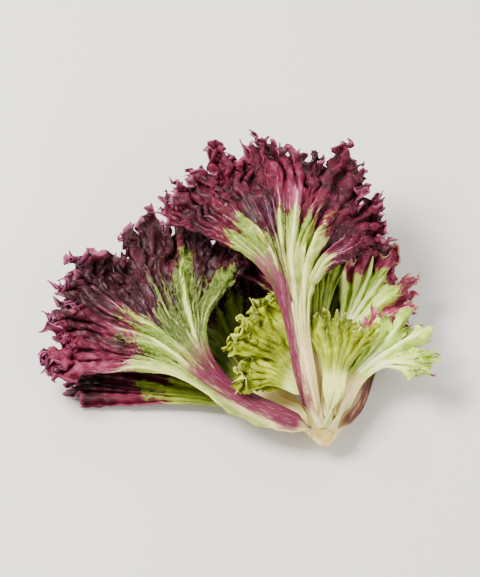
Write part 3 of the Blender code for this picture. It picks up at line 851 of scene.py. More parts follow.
def ruffled_margin(leaf, look, sizes, ruffles, at):
    """How far the ruffles raise, push aside and pull ahead each place, and how near a crest it is."""
    rise, slide, reach, crest = np.zeros((4, len(at.along)))
    share = look.get("ruffled", 1.0) * at.lively
    for number, (pitch, depth, starts) in enumerate(ruffles):
        seed = leaf["seed"] + SEEDS["ruffles"] * (number + 1)
        waves = margin_length(leaf) / pitch
        phase = math.pi * waves * (at.across + at.drift)
        phase += RUFFLE_WANDER * rough(at.x, at.y, 2 * pitch, seed)
        phase += RUFFLE_TURN * (at.along - starts) * rough(at.x, at.y, 4 * pitch, seed + 1)
        varied = RUFFLE_DEPTH + RUFFLE_VARIES * rough(at.x, at.y, 2 * pitch, seed + 2)
        grown = ease(at.along, starts, RUFFLES_FULL)
        size = sizes.ruffles * share * depth * grown * np.clip(varied, *RUFFLE_LIMITS)
        rise += size * np.sin(phase)
        slide -= share * OVERHANG * pitch * grown * np.sin(2 * phase)
        reach += CURL * size * np.cos(phase + CURL_PHASE)
        crest += RUFFLE_SHADE * grown * np.sin(phase)
    return rise, slide, reach, crest


def curled_tips(leaf, sizes, tip, at):
    """How far the tips of the teeth curl up or down, and aside."""
    curl = sizes.tooth_curl / MM * tip * ease(at.along, *TIPS_CURL)
    rise = curl * rough(at.x, at.y, TIP_PITCH, leaf["seed"] + SEEDS["tip_up"])
    slide = TIP_ASIDE * curl * rough(at.x, at.y, TIP_ASIDE_PITCH, leaf["seed"] + SEEDS["tip_aside"])
    return rise, slide


def wing_beside_petiole(leaf, look, at):
    """How far, in mm, the narrow toothed wing beside a petiole reaches out, and how it waves up and down."""
    if "winged" not in look:
        return np.zeros_like(at.along), 0.0
    side, reach, begins, ends = look["winged"]
    down_it = at.along * (leaf["petiole"] + leaf["blade"])
    wander = rough(down_it, 0.0, WING_TOOTH_WANDER, leaf["seed"])
    teeth = WING_WHOLE + (1 - WING_WHOLE) * np.abs(np.sin(math.pi * down_it / WING_TOOTH + wander))
    teeth *= WING_DEPTH + WING_VARIES * rough(down_it, 0.0, WING_CHANGE, leaf["seed"] + 2)
    along_it = ease(at.along, begins, begins + WING_GROWS) * (1 - ease(at.along, ends - WING_ENDS, ends))
    wing = reach * teeth * along_it * ease(side * at.across, WING_STARTS_ACROSS, 1.0)
    return wing, WING_WAVE * wing * rough(at.along, 0.0, WING_WAVE_PITCH, leaf["seed"] + SEEDS["wing"])


def with_heel(points, at):
    """Petiole carried on below its base, where it curves in and wraps round the stem."""
    meets = np.array(HEEL_MEETS)
    away = points[at.heel > 0].mean(0) - meets
    outward = unit(np.array([[away[0], 0.0, away[2]]]))[0]
    side = np.cross(outward, [0.0, 1.0, 0.0])
    turn = (at.across * HEEL_WIDTH / HEEL_RADIUS)[:, None]
    target = meets + HEEL_RADIUS * (outward * np.cos(turn) - side * np.sin(turn))
    gap = np.linalg.norm(target - points, axis=1)
    bend = points - at.ahead * (HEEL_BEND * gap)[:, None]
    share = at.heel[:, None]
    return (1 - share) ** 2 * points + 2 * share * (1 - share) * bend + share**2 * target


def soft_floor(height):
    """Height above the floor, eased so that waves flatten against it and don't go through."""
    low = FLOOR_SOFT * np.exp(np.minimum(height - FLOOR_SOFT, 0) / FLOOR_SOFT)
    return np.where(height > FLOOR_SOFT, height, low)


def colour_fields(leaf, look, at):
    """What the materials read at each place, from 0 to 1: vein, fold (how light the tissue is), red, rim,
    blush of the petiole, net of finest veins, and cream of the petiole."""
    leftwards = (1 - at.across) / 2
    clouds = rough(at.x, at.y, CLOUD_PITCH, leaf["seed"] + SEEDS["clouds"])
    opened = ease(at.along, *TONE_OPENS)
    # Painted highlight on the crests of folds and painted shade in their furrows, and painted shade in the
    # pockets between veins
    fold_shade_and_highlight = at.crest * opened * (1 - FOLD_SHADE_LOST * ease(at.along, *FOLD_SHADE_FADES))
    tone_and_painted_shade = SHADE_AND_TONE["middle"] + SHADE_AND_TONE["veins"] * (at.raised - POCKET_LEVEL) + SHADE_AND_TONE["folds"] * fold_shade_and_highlight
    # Painted highlight on the crests of ruffles and painted shade in their troughs
    tone_and_painted_shade += SHADE_AND_TONE["ruffles"] * leaf["back"] * at.waved * opened
    # Slow clouds are the tissue's own tone; dark is painted shade over the whole leaf, painted light where it
    # is below 0
    tone_and_painted_shade += SHADE_AND_TONE["clouds"] * clouds - look.get("dark", 0.0)
    # Painted light on the side of the leaf where its margin is calm
    if "calm" in look:
        tone_and_painted_shade += SHADE_AND_TONE["calm"] * ease(at.across, *CALM_PAINTED_LIGHT)
    green_wing = np.zeros_like(tone_and_painted_shade)
    if "winged" in look:
        green_wing = ease(look["winged"][0] * at.across, *WING_GREENS) * ease(at.along, *WING_GREENS_ALONG)
    tone_and_painted_shade += SHADE_AND_TONE["wing"] * green_wing
    border = curve_through(look["red_from"], leftwards)
    strays = RED_STRAYS * rough(at.x, at.y, RED_PITCH, leaf["seed"] + SEEDS["red"])
    strays += RED_IN_FURROWS * (RED_LEVEL - at.crest)
    red = ease(at.place + strays * at.blade, border - RED_BORDER, border + RED_BORDER)
    red += look.get("mottle", 0.0) * ease(at.along, *MOTTLE_OPENS)
    blush = np.clip(curve_through(look["petiole_red"], leftwards), 0, 1) * (1 - at.heel)
    blush *= 1 - ease(at.along, BLUSH_FADES[0], look.get("blushed", BLUSH_FADES[1]))
    blush *= 1 - EDGE_BLUSH_LOST * green_wing
    cream = (1 - ease(at.along, *CREAM_FADES)) * (1 - EDGE_CREAM_LOST * green_wing)
    cream *= 1 - WING_CREAM_LOST * ease(at.wing, *WING_REACHES)
    return dict(vein=at.vein * look["pale"], tone_and_painted_shade=tone_and_painted_shade, red=red, rim=ease(at.along, *RIM_SHOWS), blush=blush,
                net=ease(at.along, *NET_SHOWS), cream=cream)


def leaf_charts(leaf, at):
    """The leaf laid flat, along its veins: once as wide as its margin, and once as wide as its petiole."""
    down_it = at.along * (leaf["petiole"] + leaf["blade"])
    blade = np.stack([at.across * margin_length(leaf) / 2, down_it], 1)
    petiole = np.stack([at.across * leaf["width"], down_it], 1)
    return {"UVMap": blade / CHART_UNIT, "petiole": petiole / CHART_UNIT}


def fine_leaf(leaf, look, sizes, ruffles, teeth, along, across):
    """Points of the fine leaf in mm, what its materials read, and its charts."""
    leaf = dict(leaf, **look.get("fine", {}))
    if "ridges" in look:
        leaf["pleats"] = (leaf["pleats"][0], 0.0)
    along = along * (1 + HEEL) - HEEL
    heel = np.clip(-along / HEEL, 0, 1)
    along = np.maximum(along, 0)
    lively = 1 - CALMED * ease(across, *look["calm"]) if "calm" in look else np.ones_like(across)
    cut, tip = margin_cut(leaf, look, sizes, teeth, across)
    place = along * (1 + (REACH_OVER - cut * lively) * ease(along, *MARGIN_STRETCHES))
    at = leaf_ground(leaf, place, across)
    at.along, at.heel, at.lively = along, heel, lively
    at.blade = ease(along, *BLADE_OPENS)
    at.drift = DRIFT * rough(at.x, at.y, DRIFT_PITCH, leaf["seed"] + SEEDS["drift"])
    at.drift *= ease(along, *DRIFT_GROWS)
    at.vein, at.raised = vein_field(leaf, look, sizes, at)
    at.wing, wing_rise = wing_beside_petiole(leaf, look, at)
    fold_rise, fold_slide, at.crest = large_folds(leaf, look, at)
    wave_rise, wave_slide, wave_reach, at.waved = ruffled_margin(leaf, look, sizes, ruffles, at)
    tip_rise, tip_slide = curled_tips(leaf, sizes, tip * lively, at)
    rise = quilted_blade(leaf, look, sizes, at) + fold_rise + wave_rise + tip_rise + wing_rise
    slide = fold_slide + wave_slide + tip_slide + np.sign(across) * at.wing
    points = at.points + at.up * rise[:, None] + at.left * slide[:, None] + at.ahead * wave_reach[:, None]
    points = with_heel(points, at)
    points[:, 2] = FLOOR_CLEAR + soft_floor(points[:, 2] - FLOOR_CLEAR)
    return points, colour_fields(leaf, look, at), leaf_charts(leaf, at)


def select_none():
    """Deselects every object, so that an operator acts on the new one alone."""
    bpy.ops.object.select_all(action="DESELECT")


def vectors_of(mesh, kind="co"):
    """Places of the mesh's vertices, or their normals, one a row."""
    flat = np.empty(len(mesh.vertices) * 3)
    mesh.vertices.foreach_get(kind, flat)
    return flat.reshape(-1, 3)


def sheet_object(name, bands):
    """A flat grid from -1 to 1, with each band of faces towards its far side finer than the one before."""
    select_none()
    bpy.ops.mesh.primitive_grid_add(x_subdivisions=GRID_ACROSS, y_subdivisions=GRID_ALONG, size=2)
    sheet = bpy.context.object
    sheet.name = name
    sheet.data.name = name
    bpy.ops.object.mode_set(mode="EDIT")
    bpy.ops.mesh.select_mode(type="FACE")
    for begins in bands:
        shape = bmesh.from_edit_mesh(sheet.data)
        for face in shape.faces:
            face.select_set(min(vert.co.y for vert in face.verts) > 2 * begins - 1 - TINY)
        bmesh.update_edit_mesh(sheet.data)
        bpy.ops.mesh.subdivide(number_cuts=1, ngon=False)
    bpy.ops.object.mode_set(mode="OBJECT")
    return sheet


def store(mesh, fields, charts):
    """Writes the fields as attributes of the mesh and the charts as its UV maps."""
    for name, values in fields.items():
        field = mesh.attributes.new(name, "FLOAT", "POINT")
        field.data.foreach_set("value", np.asarray(values, np.float32))
    corners = np.empty(len(mesh.loops), int)
    mesh.loops.foreach_get("vertex_index", corners)
    for name, places in charts.items():
        chart = mesh.uv_layers.get(name) or mesh.uv_layers.new(name=name)
        chart.uv.foreach_set("vector", places[corners].ravel())


def thicken(obj, midrib, thick, thin):
    """Gives the sheet its thickness, which grows from thin to thick with the midrib, and its other side."""
    group = obj.vertex_groups.new(name="midrib")
    for index, weight in enumerate(midrib):
        group.add([index], float(weight), "REPLACE")
    solid = obj.modifiers.new("thickness", "SOLIDIFY")
    solid.thickness = thick
    solid.offset = 0.0
    solid.vertex_group = group.name
    solid.thickness_vertex_group = thin / solid.thickness
    solid.material_offset = 1
    solid.material_offset_rim = 0
    bpy.ops.object.modifier_apply(modifier=solid.name)
    obj.vertex_groups.clear()
    points = vectors_of(obj.data)
    points[:, 2] = np.maximum(points[:, 2], 0.0)
    obj.data.vertices.foreach_set("co", points.ravel())


def make_leaf(name, sizes, materials, ruffles, teeth, bands):
    """One leaf: the fine sheet, shaped, thickened and carried by the head."""
    leaf = LEAVES[name]
    obj = sheet_object("ruffled_" + name, bands)
    flat = vectors_of(obj.data)
    across = -flat[:, 0]
    along = 1 - (1 - (flat[:, 1] + 1) / 2) ** ROW_CROWDING
    points, fields, charts = fine_leaf(leaf, LOOKS[name], sizes, ruffles, teeth, along, across)
    obj.data.vertices.foreach_set("co", ((points + head_shift()) * MM).ravel())
    store(obj.data, fields, charts)
    for material in materials:
        obj.data.materials.append(material)
    midrib = (1 - ease(along - HEEL, 0.0, FLESHY_ALONG)) * (1 - ease(np.abs(across), FLESHY_ACROSS, 1.0))
    thicken(obj, midrib, leaf["thick"] * MM, sizes.blade_thickness)
    obj.data.shade_smooth()
    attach(obj, "root")
    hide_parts(name)


def head_shift():
    """From the leaf table's frame to the head's own, in mm, found from the stem's solid."""
    low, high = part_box("stem")
    middle = (np.array(low) + np.array(high)) / 2 / MM
    return np.array([middle[0] - STEM_BOX_MIDDLE[0], middle[1] - STEM_BOX_MIDDLE[1], 0.0])


def add_node(tree, kind, inputs=(), shades=(), **settings):
    """Adds a node with its settings; inputs gives sockets, by name or number, a value or a link, and
    shades gives a ramp its three stops."""
    made = tree.nodes.new(kind)
    for name, value in settings.items():
        setattr(made, name, value)
    for socket, value in dict(inputs).items():
        if isinstance(value, bpy.types.NodeSocket):
            tree.links.new(value, made.inputs[socket])
        else:
            made.inputs[socket].default_value = value
    if shades:
        made.color_ramp.elements.new(0.5)
        for stop, (place, shade) in zip(made.color_ramp.elements, shades):
            stop.position = place
            stop.color = shade
    return made


def shades_of(tones, tissue):
    """Where a ramp turns to the dark, middle and light tone of that tissue, and the tones."""
    return [(place, [*getattr(tones, f"{tissue}_{depth}"), 1]) for depth, place in RAMP_PLACES.items()]


def uneven(tree, field, pattern, depth):
    """The field, higher where the pattern is above its middle and lower where it is below."""
    swing = add_node(tree, "ShaderNodeMath", {0: pattern, 1: depth, 2: -0.5 * depth},
                     operation="MULTIPLY_ADD").outputs[0]
    return add_node(tree, "ShaderNodeMath", {0: field, 1: swing}, operation="ADD").outputs[0]


def spaced(pitches):
    """Scale of a pattern on a chart, from how many mm wide and long it is."""
    return (CHART_UNIT / pitches[0], CHART_UNIT / pitches[1], 1.0)


def new_material(name, finish):
    """A material with that finish on its shader."""
    made = bpy.data.materials.new(name)
    made.use_nodes = True
    shader = made.node_tree.nodes["Principled BSDF"]
    for socket, value in finish.items():
        shader.inputs[socket].default_value = value
    return made, made.node_tree, shader


def leaf_material(name, tones, petiole, roughness, glow, shine=0.35):
    """Living leaf, painted from its green tissue outwards: red tissue, the petiole's cream, veins, the net of
    finest veins, the petiole's streaks and the rim. A thin waxy skin over wet, slightly see-through tissue
    gives a soft shine and a glow where light comes through."""
    made, tree, shader = new_material(name, {
        "IOR": 1.42, "Specular IOR Level": shine, "Subsurface Weight": glow, "Subsurface Scale": GLOW_DEPTH,
        "Subsurface Radius": LEAF_GLOW})
    place = add_node(tree, "ShaderNodeTexCoord").outputs["Object"]
    chart = add_node(tree, "ShaderNodeUVMap", uv_map="UVMap").outputs[0]
    stalk = add_node(tree, "ShaderNodeUVMap", uv_map="petiole").outputs[0]
    read = {field: add_node(tree, "ShaderNodeAttribute", attribute_name=field).outputs["Fac"]
            for field in ("vein", "tone_and_painted_shade", "red", "rim", "blush", "net", "cream")}

    clouds = add_node(tree, "ShaderNodeTexNoise", {
        "Vector": place, "Scale": 1 / (CLOUDS * MM), "Detail": 4.0, "Roughness": 0.6}).outputs[0]
    drawn = add_node(tree, "ShaderNodeMapping", {"Vector": chart, "Scale": spaced(STREAKS)}).outputs[0]
    streaks = add_node(tree, "ShaderNodeTexNoise", {
        "Vector": drawn, "Scale": 1.0, "Detail": 4.0, "Roughness": 0.65}).outputs[0]
    drawn = add_node(tree, "ShaderNodeMapping", {"Vector": stalk, "Scale": spaced(FIBRES)}).outputs[0]
    fibres = add_node(tree, "ShaderNodeTexNoise", {
        "Vector": drawn, "Scale": 1.0, "Detail": 5.0, "Roughness": 0.7}).outputs[0]
    drawn = add_node(tree, "ShaderNodeMapping", {"Vector": chart, "Scale": spaced(NET_CELLS)}).outputs[0]
    cells = add_node(tree, "ShaderNodeTexVoronoi", {"Vector": drawn, "Scale": 1.0},
                     feature="DISTANCE_TO_EDGE").outputs["Distance"]

    # Tissue: painted highlight on crests and painted shade in furrows and pockets, cloudy; red breaks up into
    # streaks, and fills the cells of the net before it reaches their edges
    tone = uneven(tree, read["tone_and_painted_shade"], clouds, depth=0.9)
    green = add_node(tree, "ShaderNodeValToRGB", {0: tone}, shades_of(tones, "green")).outputs[0]
    red = add_node(tree, "ShaderNodeValToRGB", {0: tone}, shades_of(tones, "red")).outputs[0]
    island = add_node(tree, "ShaderNodeMapRange", {"Value": cells, "From Min": 0.02, "From Max": 0.30},
                      interpolation_type="SMOOTHSTEP").outputs[0]
    broken = uneven(tree, read["red"], clouds, depth=0.65)
    broken = uneven(tree, broken, streaks, depth=0.6)
    broken = uneven(tree, broken, island, depth=0.22)
    redness = add_node(tree, "ShaderNodeMapRange", {"Value": broken, "From Min": 0.34, "From Max": 0.66},
                       interpolation_type="SMOOTHSTEP").outputs[0]

    # Veins: paler than the tissue, and flushed where it is deep red; the net fades out in red tissue
    flushed = add_node(tree, "ShaderNodeMapRange", {"Value": broken, "From Min": 0.45, "From Max": 1.1},
                       interpolation_type="SMOOTHSTEP").outputs[0]
    veins = add_node(tree, "ShaderNodeMix", {
        SHARE: flushed, UNDER: [*tones.vein_green, 1], OVER: [*tones.vein_red, 1]},
        data_type="RGBA").outputs[MIXED]
    veined = add_node(tree, "ShaderNodeMapRange", {"Value": read["vein"], "From Min": 0.12, "From Max": 0.75},
                      interpolation_type="SMOOTHSTEP").outputs[0]
    net = add_node(tree, "ShaderNodeMapRange", {
        "Value": cells, "From Min": 0.0, "From Max": 0.12, "To Min": 0.16, "To Max": 0.0}).outputs[0]
    faint = add_node(tree, "ShaderNodeMapRange", {"Value": redness, "To Min": 1.0, "To Max": 0.35}).outputs[0]
    net = add_node(tree, "ShaderNodeMath", {0: net, 1: read["net"]}, operation="MULTIPLY").outputs[0]
    net = add_node(tree, "ShaderNodeMath", {0: net, 1: faint}, operation="MULTIPLY").outputs[0]

    # Petiole: cream between its fibres, and magenta that shows first along them
    cream = add_node(tree, "ShaderNodeValToRGB", {0: streaks}, shades_of(petiole, "cream")).outputs[0]
    magenta = add_node(tree, "ShaderNodeValToRGB", {0: fibres}, shades_of(petiole, "blush")).outputs[0]
    blushed = uneven(tree, read["blush"], fibres, depth=1.9)
    blushed = add_node(tree, "ShaderNodeMapRange", {"Value": blushed, "From Min": 0.25, "From Max": 0.95},
                       interpolation_type="SMOOTHSTEP").outputs[0]
    rim = add_node(tree, "ShaderNodeMapRange", {
        "Value": read["rim"], "From Min": 0.3, "To Max": 0.55}).outputs[0]

    paint = green
    layers = ((redness, red), (read["cream"], cream), (veined, veins), (net, veins), (blushed, magenta),
              (rim, [*tones.rim, 1]))
    for share, over in layers:
        paint = add_node(tree, "ShaderNodeMix", {SHARE: share, UNDER: paint, OVER: over},
                         data_type="RGBA").outputs[MIXED]
    tree.links.new(paint, shader.inputs["Base Color"])
    relief = uneven(tree, clouds, net, depth=1.5)
    bump = add_node(tree, "ShaderNodeBump", {"Height": relief, "Distance": LEAF_BUMP, "Strength": 0.55})
    tree.links.new(bump.outputs[0], shader.inputs["Normal"])
    dulled = add_node(tree, "ShaderNodeMapRange", {
        "Value": streaks, "To Min": roughness - 0.08, "To Max": roughness + 0.12}).outputs[0]
    tree.links.new(dulled, shader.inputs["Roughness"])
    return made


def stem_material(name, tones, tissue, roughness):
    """Lettuce stem: juicy pith under a thin skin, both a little see-through, patchy in colour and grainy."""
    made, tree, shader = new_material(name, {
        "Roughness": roughness, "Subsurface Weight": 0.12, "Subsurface Scale": GLOW_DEPTH,
        "Subsurface Radius": STEM_GLOW})
    place = add_node(tree, "ShaderNodeTexCoord").outputs["Object"]
    patches = add_node(tree, "ShaderNodeTexNoise", {
        "Vector": place, "Scale": 1 / (STEM_PATCHES * MM), "Detail": 5.0}).outputs[0]
    paint = add_node(tree, "ShaderNodeValToRGB", {0: patches}, shades_of(tones, tissue)).outputs[0]
    tree.links.new(paint, shader.inputs["Base Color"])
    grain = add_node(tree, "ShaderNodeTexNoise", {
        "Vector": place, "Scale": 1 / (STEM_GRAIN * MM), "Detail": 3.0}).outputs[0]
    bump = add_node(tree, "ShaderNodeBump", {"Height": grain, "Distance": STEM_BUMP, "Strength": 0.6})
    tree.links.new(bump.outputs[0], shader.inputs["Normal"])
    return made


def draw_out_stub():
    """The stub in edit mode: a disc drawn out ring by ring along the axis, from below the cut to its tip."""
    start, radius = STEM_PROFILE[0]
    bpy.ops.mesh.primitive_circle_add(vertices=STEM_SIDES, radius=radius * MM, fill_type="NGON")
    stem = bpy.context.object
    stem.name = stem.data.name = "cut_stem"
    stem.data.transform(Matrix.Translation((0, 0, start * MM)))
    bpy.ops.object.mode_set(mode="EDIT")
    bpy.ops.mesh.select_all(action="SELECT")
    for (below, before), (above, after) in zip(STEM_PROFILE, STEM_PROFILE[1:]):
        bpy.ops.mesh.extrude_region_move(TRANSFORM_OT_translate={"value": (0, 0, (above - below) * MM)})
        wider = after / before
        bpy.ops.transform.resize(value=(wider, wider, 1), center_override=(0, 0, above * MM))
    return stem


def cut_stub(stem, outward, rounding):
    """Cuts the stub at a slant, and draws its cut inwards ring by ring, over a round rim into sunken pith."""
    bpy.ops.mesh.select_all(action="SELECT")
    bpy.ops.mesh.bisect(plane_co=(0, 0, CUT_AT * MM), plane_no=outward, use_fill=True, clear_outer=True)
    bpy.ops.mesh.select_mode(type="FACE")
    shape = bmesh.from_edit_mesh(stem.data)
    shape.normal_update()
    for face in shape.faces:
        face.select_set(face.normal.dot(outward) > CUT_FACES)
    bmesh.update_edit_mesh(stem.data)
    rim = [vert.co for face in shape.faces if face.select for vert in face.verts]
    centre = sum(rim, Vector()) / len(rim)
    before = 1.0
    for share, height in CUT_RINGS:
        step = outward * height * rounding
        bpy.ops.mesh.extrude_region_move(TRANSFORM_OT_translate={"value": step})
        centre += step
        bpy.ops.transform.resize(value=[share / before] * 3, center_override=centre)
        before = share
    bpy.ops.mesh.merge(type="CENTER")


def add_stem(sizes, skin, cut):
    """The stub of the stem, with its cut, an uneven skin and its place in the head."""
    select_none()
    stem = draw_out_stub()
    lean = math.radians(CUT_LEANS)
    outward = Vector((0.0, -math.sin(lean), -math.cos(lean)))
    cut_stub(stem, outward, sizes.cut_rounding)
    bpy.ops.object.mode_set(mode="OBJECT")
    finer = stem.modifiers.new("finer", "SUBSURF")
    finer.levels = finer.render_levels = 1
    bpy.ops.object.modifier_apply(modifier=finer.name)
    mesh = stem.data
    place = vectors_of(mesh) / MM
    facing = vectors_of(mesh, "normal")
    round_it = np.arctan2(place[:, 1], place[:, 0]) * STEM_PROFILE[2][1]
    fibres = rough(round_it, SKIN_FIBRE_STRETCH * place[:, 2], SKIN_FIBRE_PITCH, SKIN_FIBRE_SEED)
    lumps = rough(place[:, 0] + place[:, 2], place[:, 1], SKIN_LUMP_PITCH, SKIN_LUMP_SEED)
    place += facing * (sizes.stem_lumps / MM * (SKIN_FIBRE_HEIGHT * fibres + lumps))[:, None]
    mesh.vertices.foreach_set("co", (place * MM).ravel())
    mesh.materials.append(skin)
    mesh.materials.append(cut)
    for face in mesh.polygons:
        face.material_index = int(face.normal.dot(outward) > CUT_PITH)
    laid = Matrix.Rotation(math.radians(-90), 4, "X")
    headed = Matrix.Rotation(math.radians(STEM_HEADING - 90), 4, "Z")
    mesh.transform(Matrix.Translation((np.array(STEM_CENTRE) + head_shift()) * MM) @ headed @ laid)
    mesh.shade_smooth()
    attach(stem, "root")
    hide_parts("stem")


def add_leaves(context, names, under, upper, ruffles, teeth, bands):
    """Leaves with their underside or their upper side up, as each one lies."""
    for name in names:
        pair = (under, upper) if LEAVES[name]["back"] > 0 else (upper, under)
        make_leaf(name, context.scene.lettuce_sizes, pair, ruffles, teeth, LOOKS[name].get("bands", bands))


def red_leaf_sides(scene):
    """Materials of both sides of a red leaf, made once for all the operators."""
    under = bpy.data.materials.get("red_lettuce_leaf_underside")
    if under:
        return under, bpy.data.materials["red_lettuce_leaf_upper_side"]
    # Underside of a red lettuce leaf: a dull bloom of wax over magenta skin, so it is matt and a little
    # greyed, and its raised veins are pale
    under = leaf_material(
        "red_lettuce_leaf_underside", scene.lettuce_red_back, scene.lettuce_petioles, 0.46, 0.15, 0.2)
    # Upper side: a smooth skin with the most red in it, so it is darker, glossier and its veins hardly show
    upper = leaf_material(
        "red_lettuce_leaf_upper_side", scene.lettuce_red_face, scene.lettuce_petioles, 0.36, 0.12)
    return under, upper


class LETTUCE_OT_under_leaves(bpy.types.Operator):
    """Adds the leaves that lie lowest, between the head and the floor"""
    bl_idname = "lettuce.under_leaves"
    bl_label = "Under leaves"

    def execute(self, context):
        sides = red_leaf_sides(context.scene)
        add_leaves(context, ("leaf_under_left", "leaf_under_right"), *sides, RUFFLES, TEETH, BANDS_LARGE)
        add_leaves(context, ("leaf_under_middle", "leaf_under_top"), *sides, RUFFLES, TEETH, BANDS_HIDDEN)
        return {"FINISHED"}


class LETTUCE_OT_inner_leaves(bpy.types.Operator):
    """Adds the red leaves that stand between the heart and the top leaf"""
    bl_idname = "lettuce.inner_leaves"
    bl_label = "Inner leaves"

    def execute(self, context):
        sides = red_leaf_sides(context.scene)
        add_leaves(context, ("leaf_inner_top", "leaf_middle_top"), *sides, RUFFLES, TEETH, BANDS_LARGE)
        return {"FINISHED"}


class LETTUCE_OT_top_leaves(bpy.types.Operator):
    """Adds the two large leaves on top, with their undersides up"""
    bl_idname = "lettuce.top_leaves"
    bl_label = "Top leaves"

    def execute(self, context):
        sides = red_leaf_sides(context.scene)
        add_leaves(context, ("leaf_left", "leaf_top"), *sides, RUFFLES, TEETH, BANDS_NEAR)
        return {"FINISHED"}


class LETTUCE_OT_green_leaves(bpy.types.Operator):
    """Adds the two green leaves on the right"""
    bl_idname = "lettuce.green_leaves"
    bl_label = "Green leaves"

    def execute(self, context):
        scene = context.scene
        # Green lettuce leaf: watery tissue with little colour in it, so it is light and glows, and the upper
        # side is greener and glossier than the underside
        under = leaf_material(
            "green_lettuce_leaf_underside", scene.lettuce_green_back, scene.lettuce_petioles, 0.44, 0.25)
        upper = leaf_material(
            "green_lettuce_leaf_upper_side", scene.lettuce_green_face, scene.lettuce_petioles, 0.38, 0.25)
        add_leaves(context, ("leaf_right", "leaf_right_back"), under, upper, RUFFLES, TEETH, BANDS_LARGE)
        return {"FINISHED"}


class LETTUCE_OT_heart_leaves(bpy.types.Operator):
    """Adds the small curled leaves of the heart"""
    bl_idname = "lettuce.heart_leaves"
    bl_label = "Heart leaves"

    def execute(self, context):
        scene = context.scene
        # Blanched leaf, grown in the dark of the head: thin yellow-green tissue on both sides, so light
        # shines through it; its folds get a painted shade of deep green gold
        heart = leaf_material(
            "blanched_heart_leaf", scene.lettuce_heart, scene.lettuce_heart_petioles, 0.44, 0.3, 0.2)
        names = [name for name in LEAVES if name.startswith("heart")]
        add_leaves(context, names, heart, heart, HEART_RUFFLES, HEART_TEETH, BANDS_SMALL)
        return {"FINISHED"}


class LETTUCE_OT_stem(bpy.types.Operator):
    """Adds the cut stub of the stem"""
    bl_idname = "lettuce.stem"
    bl_label = "Cut stem"

    def execute(self, context):
        tones = context.scene.lettuce_stem
        # Skin: smooth and moist, so pale cream with a soft shine. Cut: cells dried by the air, so rougher
        # and golden, with brown patches
        skin = stem_material("lettuce_stem_skin", tones, "skin", 0.45)
        cut = stem_material("lettuce_stem_cut", tones, "cut", 0.6)
        add_stem(context.scene.lettuce_sizes, skin, cut)
        return {"FINISHED"}


def place_facing(context, thing, name, place, towards):
    """Puts a light or a camera in the scene, at its place and facing the way given."""
    made = bpy.data.objects.new(name, thing)
    context.scene.collection.objects.link(made)
    made.location = place
    made.rotation_mode = "QUATERNION"
    made.rotation_quaternion = towards.to_track_quat("-Z", "Y")
    return made


def add_floor(settings):
    """A plain pale floor: matt card, so that only soft shadows show on it."""
    select_none()
    bpy.ops.mesh.primitive_plane_add(size=FLOOR_SIZE)
    floor = bpy.context.object
    floor.name = "floor"
    finish = {"Base Color": [*settings.floor, 1], "Roughness": FLOOR_ROUGHNESS}
    floor.data.materials.append(new_material("pale_floor", finish)[0])


def add_lights(context, settings):
    """Soft lights round the head, and the even light of the room."""
    for name, place, size, power in LIGHTS:
        lamp = bpy.data.lights.new(name, "AREA")
        lamp.size = size
        lamp.energy = power * settings.light_strength
        lamp.color = settings.light
        place_facing(context, lamp, name, place, -Vector(place))
    world = bpy.data.worlds.new("studio")
    world.use_nodes = True
    room = world.node_tree.nodes["Background"]
    room.inputs["Color"].default_value = [*settings.light, 1]
    room.inputs["Strength"].default_value = ROOM_LIGHT * settings.light_strength
    context.scene.world = world


def add_camera(context, settings):
    """The camera, so far away that the image has the right number of mm to a pixel."""
    lens = bpy.data.cameras.new("camera")
    lens.lens = LENS
    lens.clip_start = CLIP_START
    tilt = settings.camera_height
    back = Vector((0.0, -math.cos(tilt), math.sin(tilt)))
    right, up = Vector((1.0, 0.0, 0.0)), Vector((0.0, math.sin(tilt), math.cos(tilt)))
    wide = (IMAGE_SIZE[0] / 2 - PIXEL_OF_TABLE[0]) * PIXEL_MM * MM
    high = (PIXEL_OF_TABLE[1] - IMAGE_SIZE[1] / 2) * PIXEL_MM * MM
    aim = right * wide + up * high + Vector(head_shift() * MM)
    place = aim + back * (PIXEL_MM * MM * IMAGE_SIZE[1] * LENS / SENSOR)
    context.scene.camera = place_facing(context, lens, "camera", place, -back)


class LETTUCE_OT_stage(bpy.types.Operator):
    """Adds the pale floor, the soft lights and the camera that looks down on the head"""
    bl_idname = "lettuce.stage"
    bl_label = "Stage"

    def execute(self, context):
        settings = context.scene.lettuce_stage
        add_floor(settings)
        add_lights(context, settings)
        add_camera(context, settings)
        return {"FINISHED"}


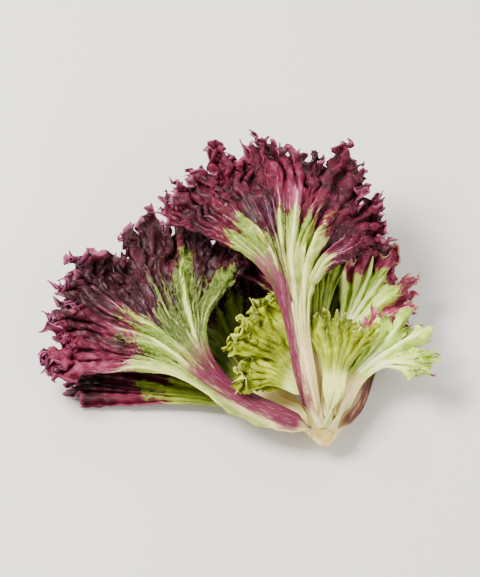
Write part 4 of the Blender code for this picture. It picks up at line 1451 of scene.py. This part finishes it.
SETTINGS = {
    "lettuce_sizes": LETTUCE_PG_sizes,
    "lettuce_red_back": LETTUCE_PG_red_back,
    "lettuce_red_face": LETTUCE_PG_red_face,
    "lettuce_green_back": LETTUCE_PG_green_back,
    "lettuce_green_face": LETTUCE_PG_green_face,
    "lettuce_petioles": LETTUCE_PG_petioles,
    "lettuce_heart": LETTUCE_PG_heart,
    "lettuce_heart_petioles": LETTUCE_PG_heart_petioles,
    "lettuce_stem": LETTUCE_PG_stem,
    "lettuce_stage": LETTUCE_PG_stage,
}
STEPS = (
    LETTUCE_OT_under_leaves, LETTUCE_OT_green_leaves, LETTUCE_OT_inner_leaves, LETTUCE_OT_top_leaves,
    LETTUCE_OT_heart_leaves, LETTUCE_OT_stem, LETTUCE_OT_stage,
)


class LETTUCE_PT_panel(bpy.types.Panel):
    """Settings of the head, and the steps that build it"""
    bl_idname = "LETTUCE_PT_panel"
    bl_label = "Red coral lettuce"
    bl_space_type = "VIEW_3D"
    bl_region_type = "UI"
    bl_category = "Lettuce"

    def draw(self, context):
        for setting, group in SETTINGS.items():
            box = self.layout.box()
            box.label(text=group.__doc__)
            for name in group.__annotations__:
                box.prop(getattr(context.scene, setting), name)
        for step in STEPS:
            self.layout.operator(step.bl_idname)


def register():
    """Registers the settings, the operators and the panel."""
    for made in (*SETTINGS.values(), *STEPS, LETTUCE_PT_panel):
        bpy.utils.register_class(made)
    for setting, group in SETTINGS.items():
        setattr(bpy.types.Scene, setting, bpy.props.PointerProperty(type=group))


def unregister():
    """Takes them away again."""
    for setting in SETTINGS:
        delattr(bpy.types.Scene, setting)
    for made in (LETTUCE_PT_panel, *reversed(STEPS), *reversed(SETTINGS.values())):
        bpy.utils.unregister_class(made)


def main():
    """Builds the head and its stage, and writes its size."""
    register()
    bpy.ops.lettuce.under_leaves()
    bpy.ops.lettuce.green_leaves()
    bpy.ops.lettuce.inner_leaves()
    bpy.ops.lettuce.top_leaves()
    bpy.ops.lettuce.heart_leaves()
    bpy.ops.lettuce.stem()
    bpy.ops.lettuce.stage()
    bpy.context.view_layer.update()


if __name__ == "__main__":
    main()
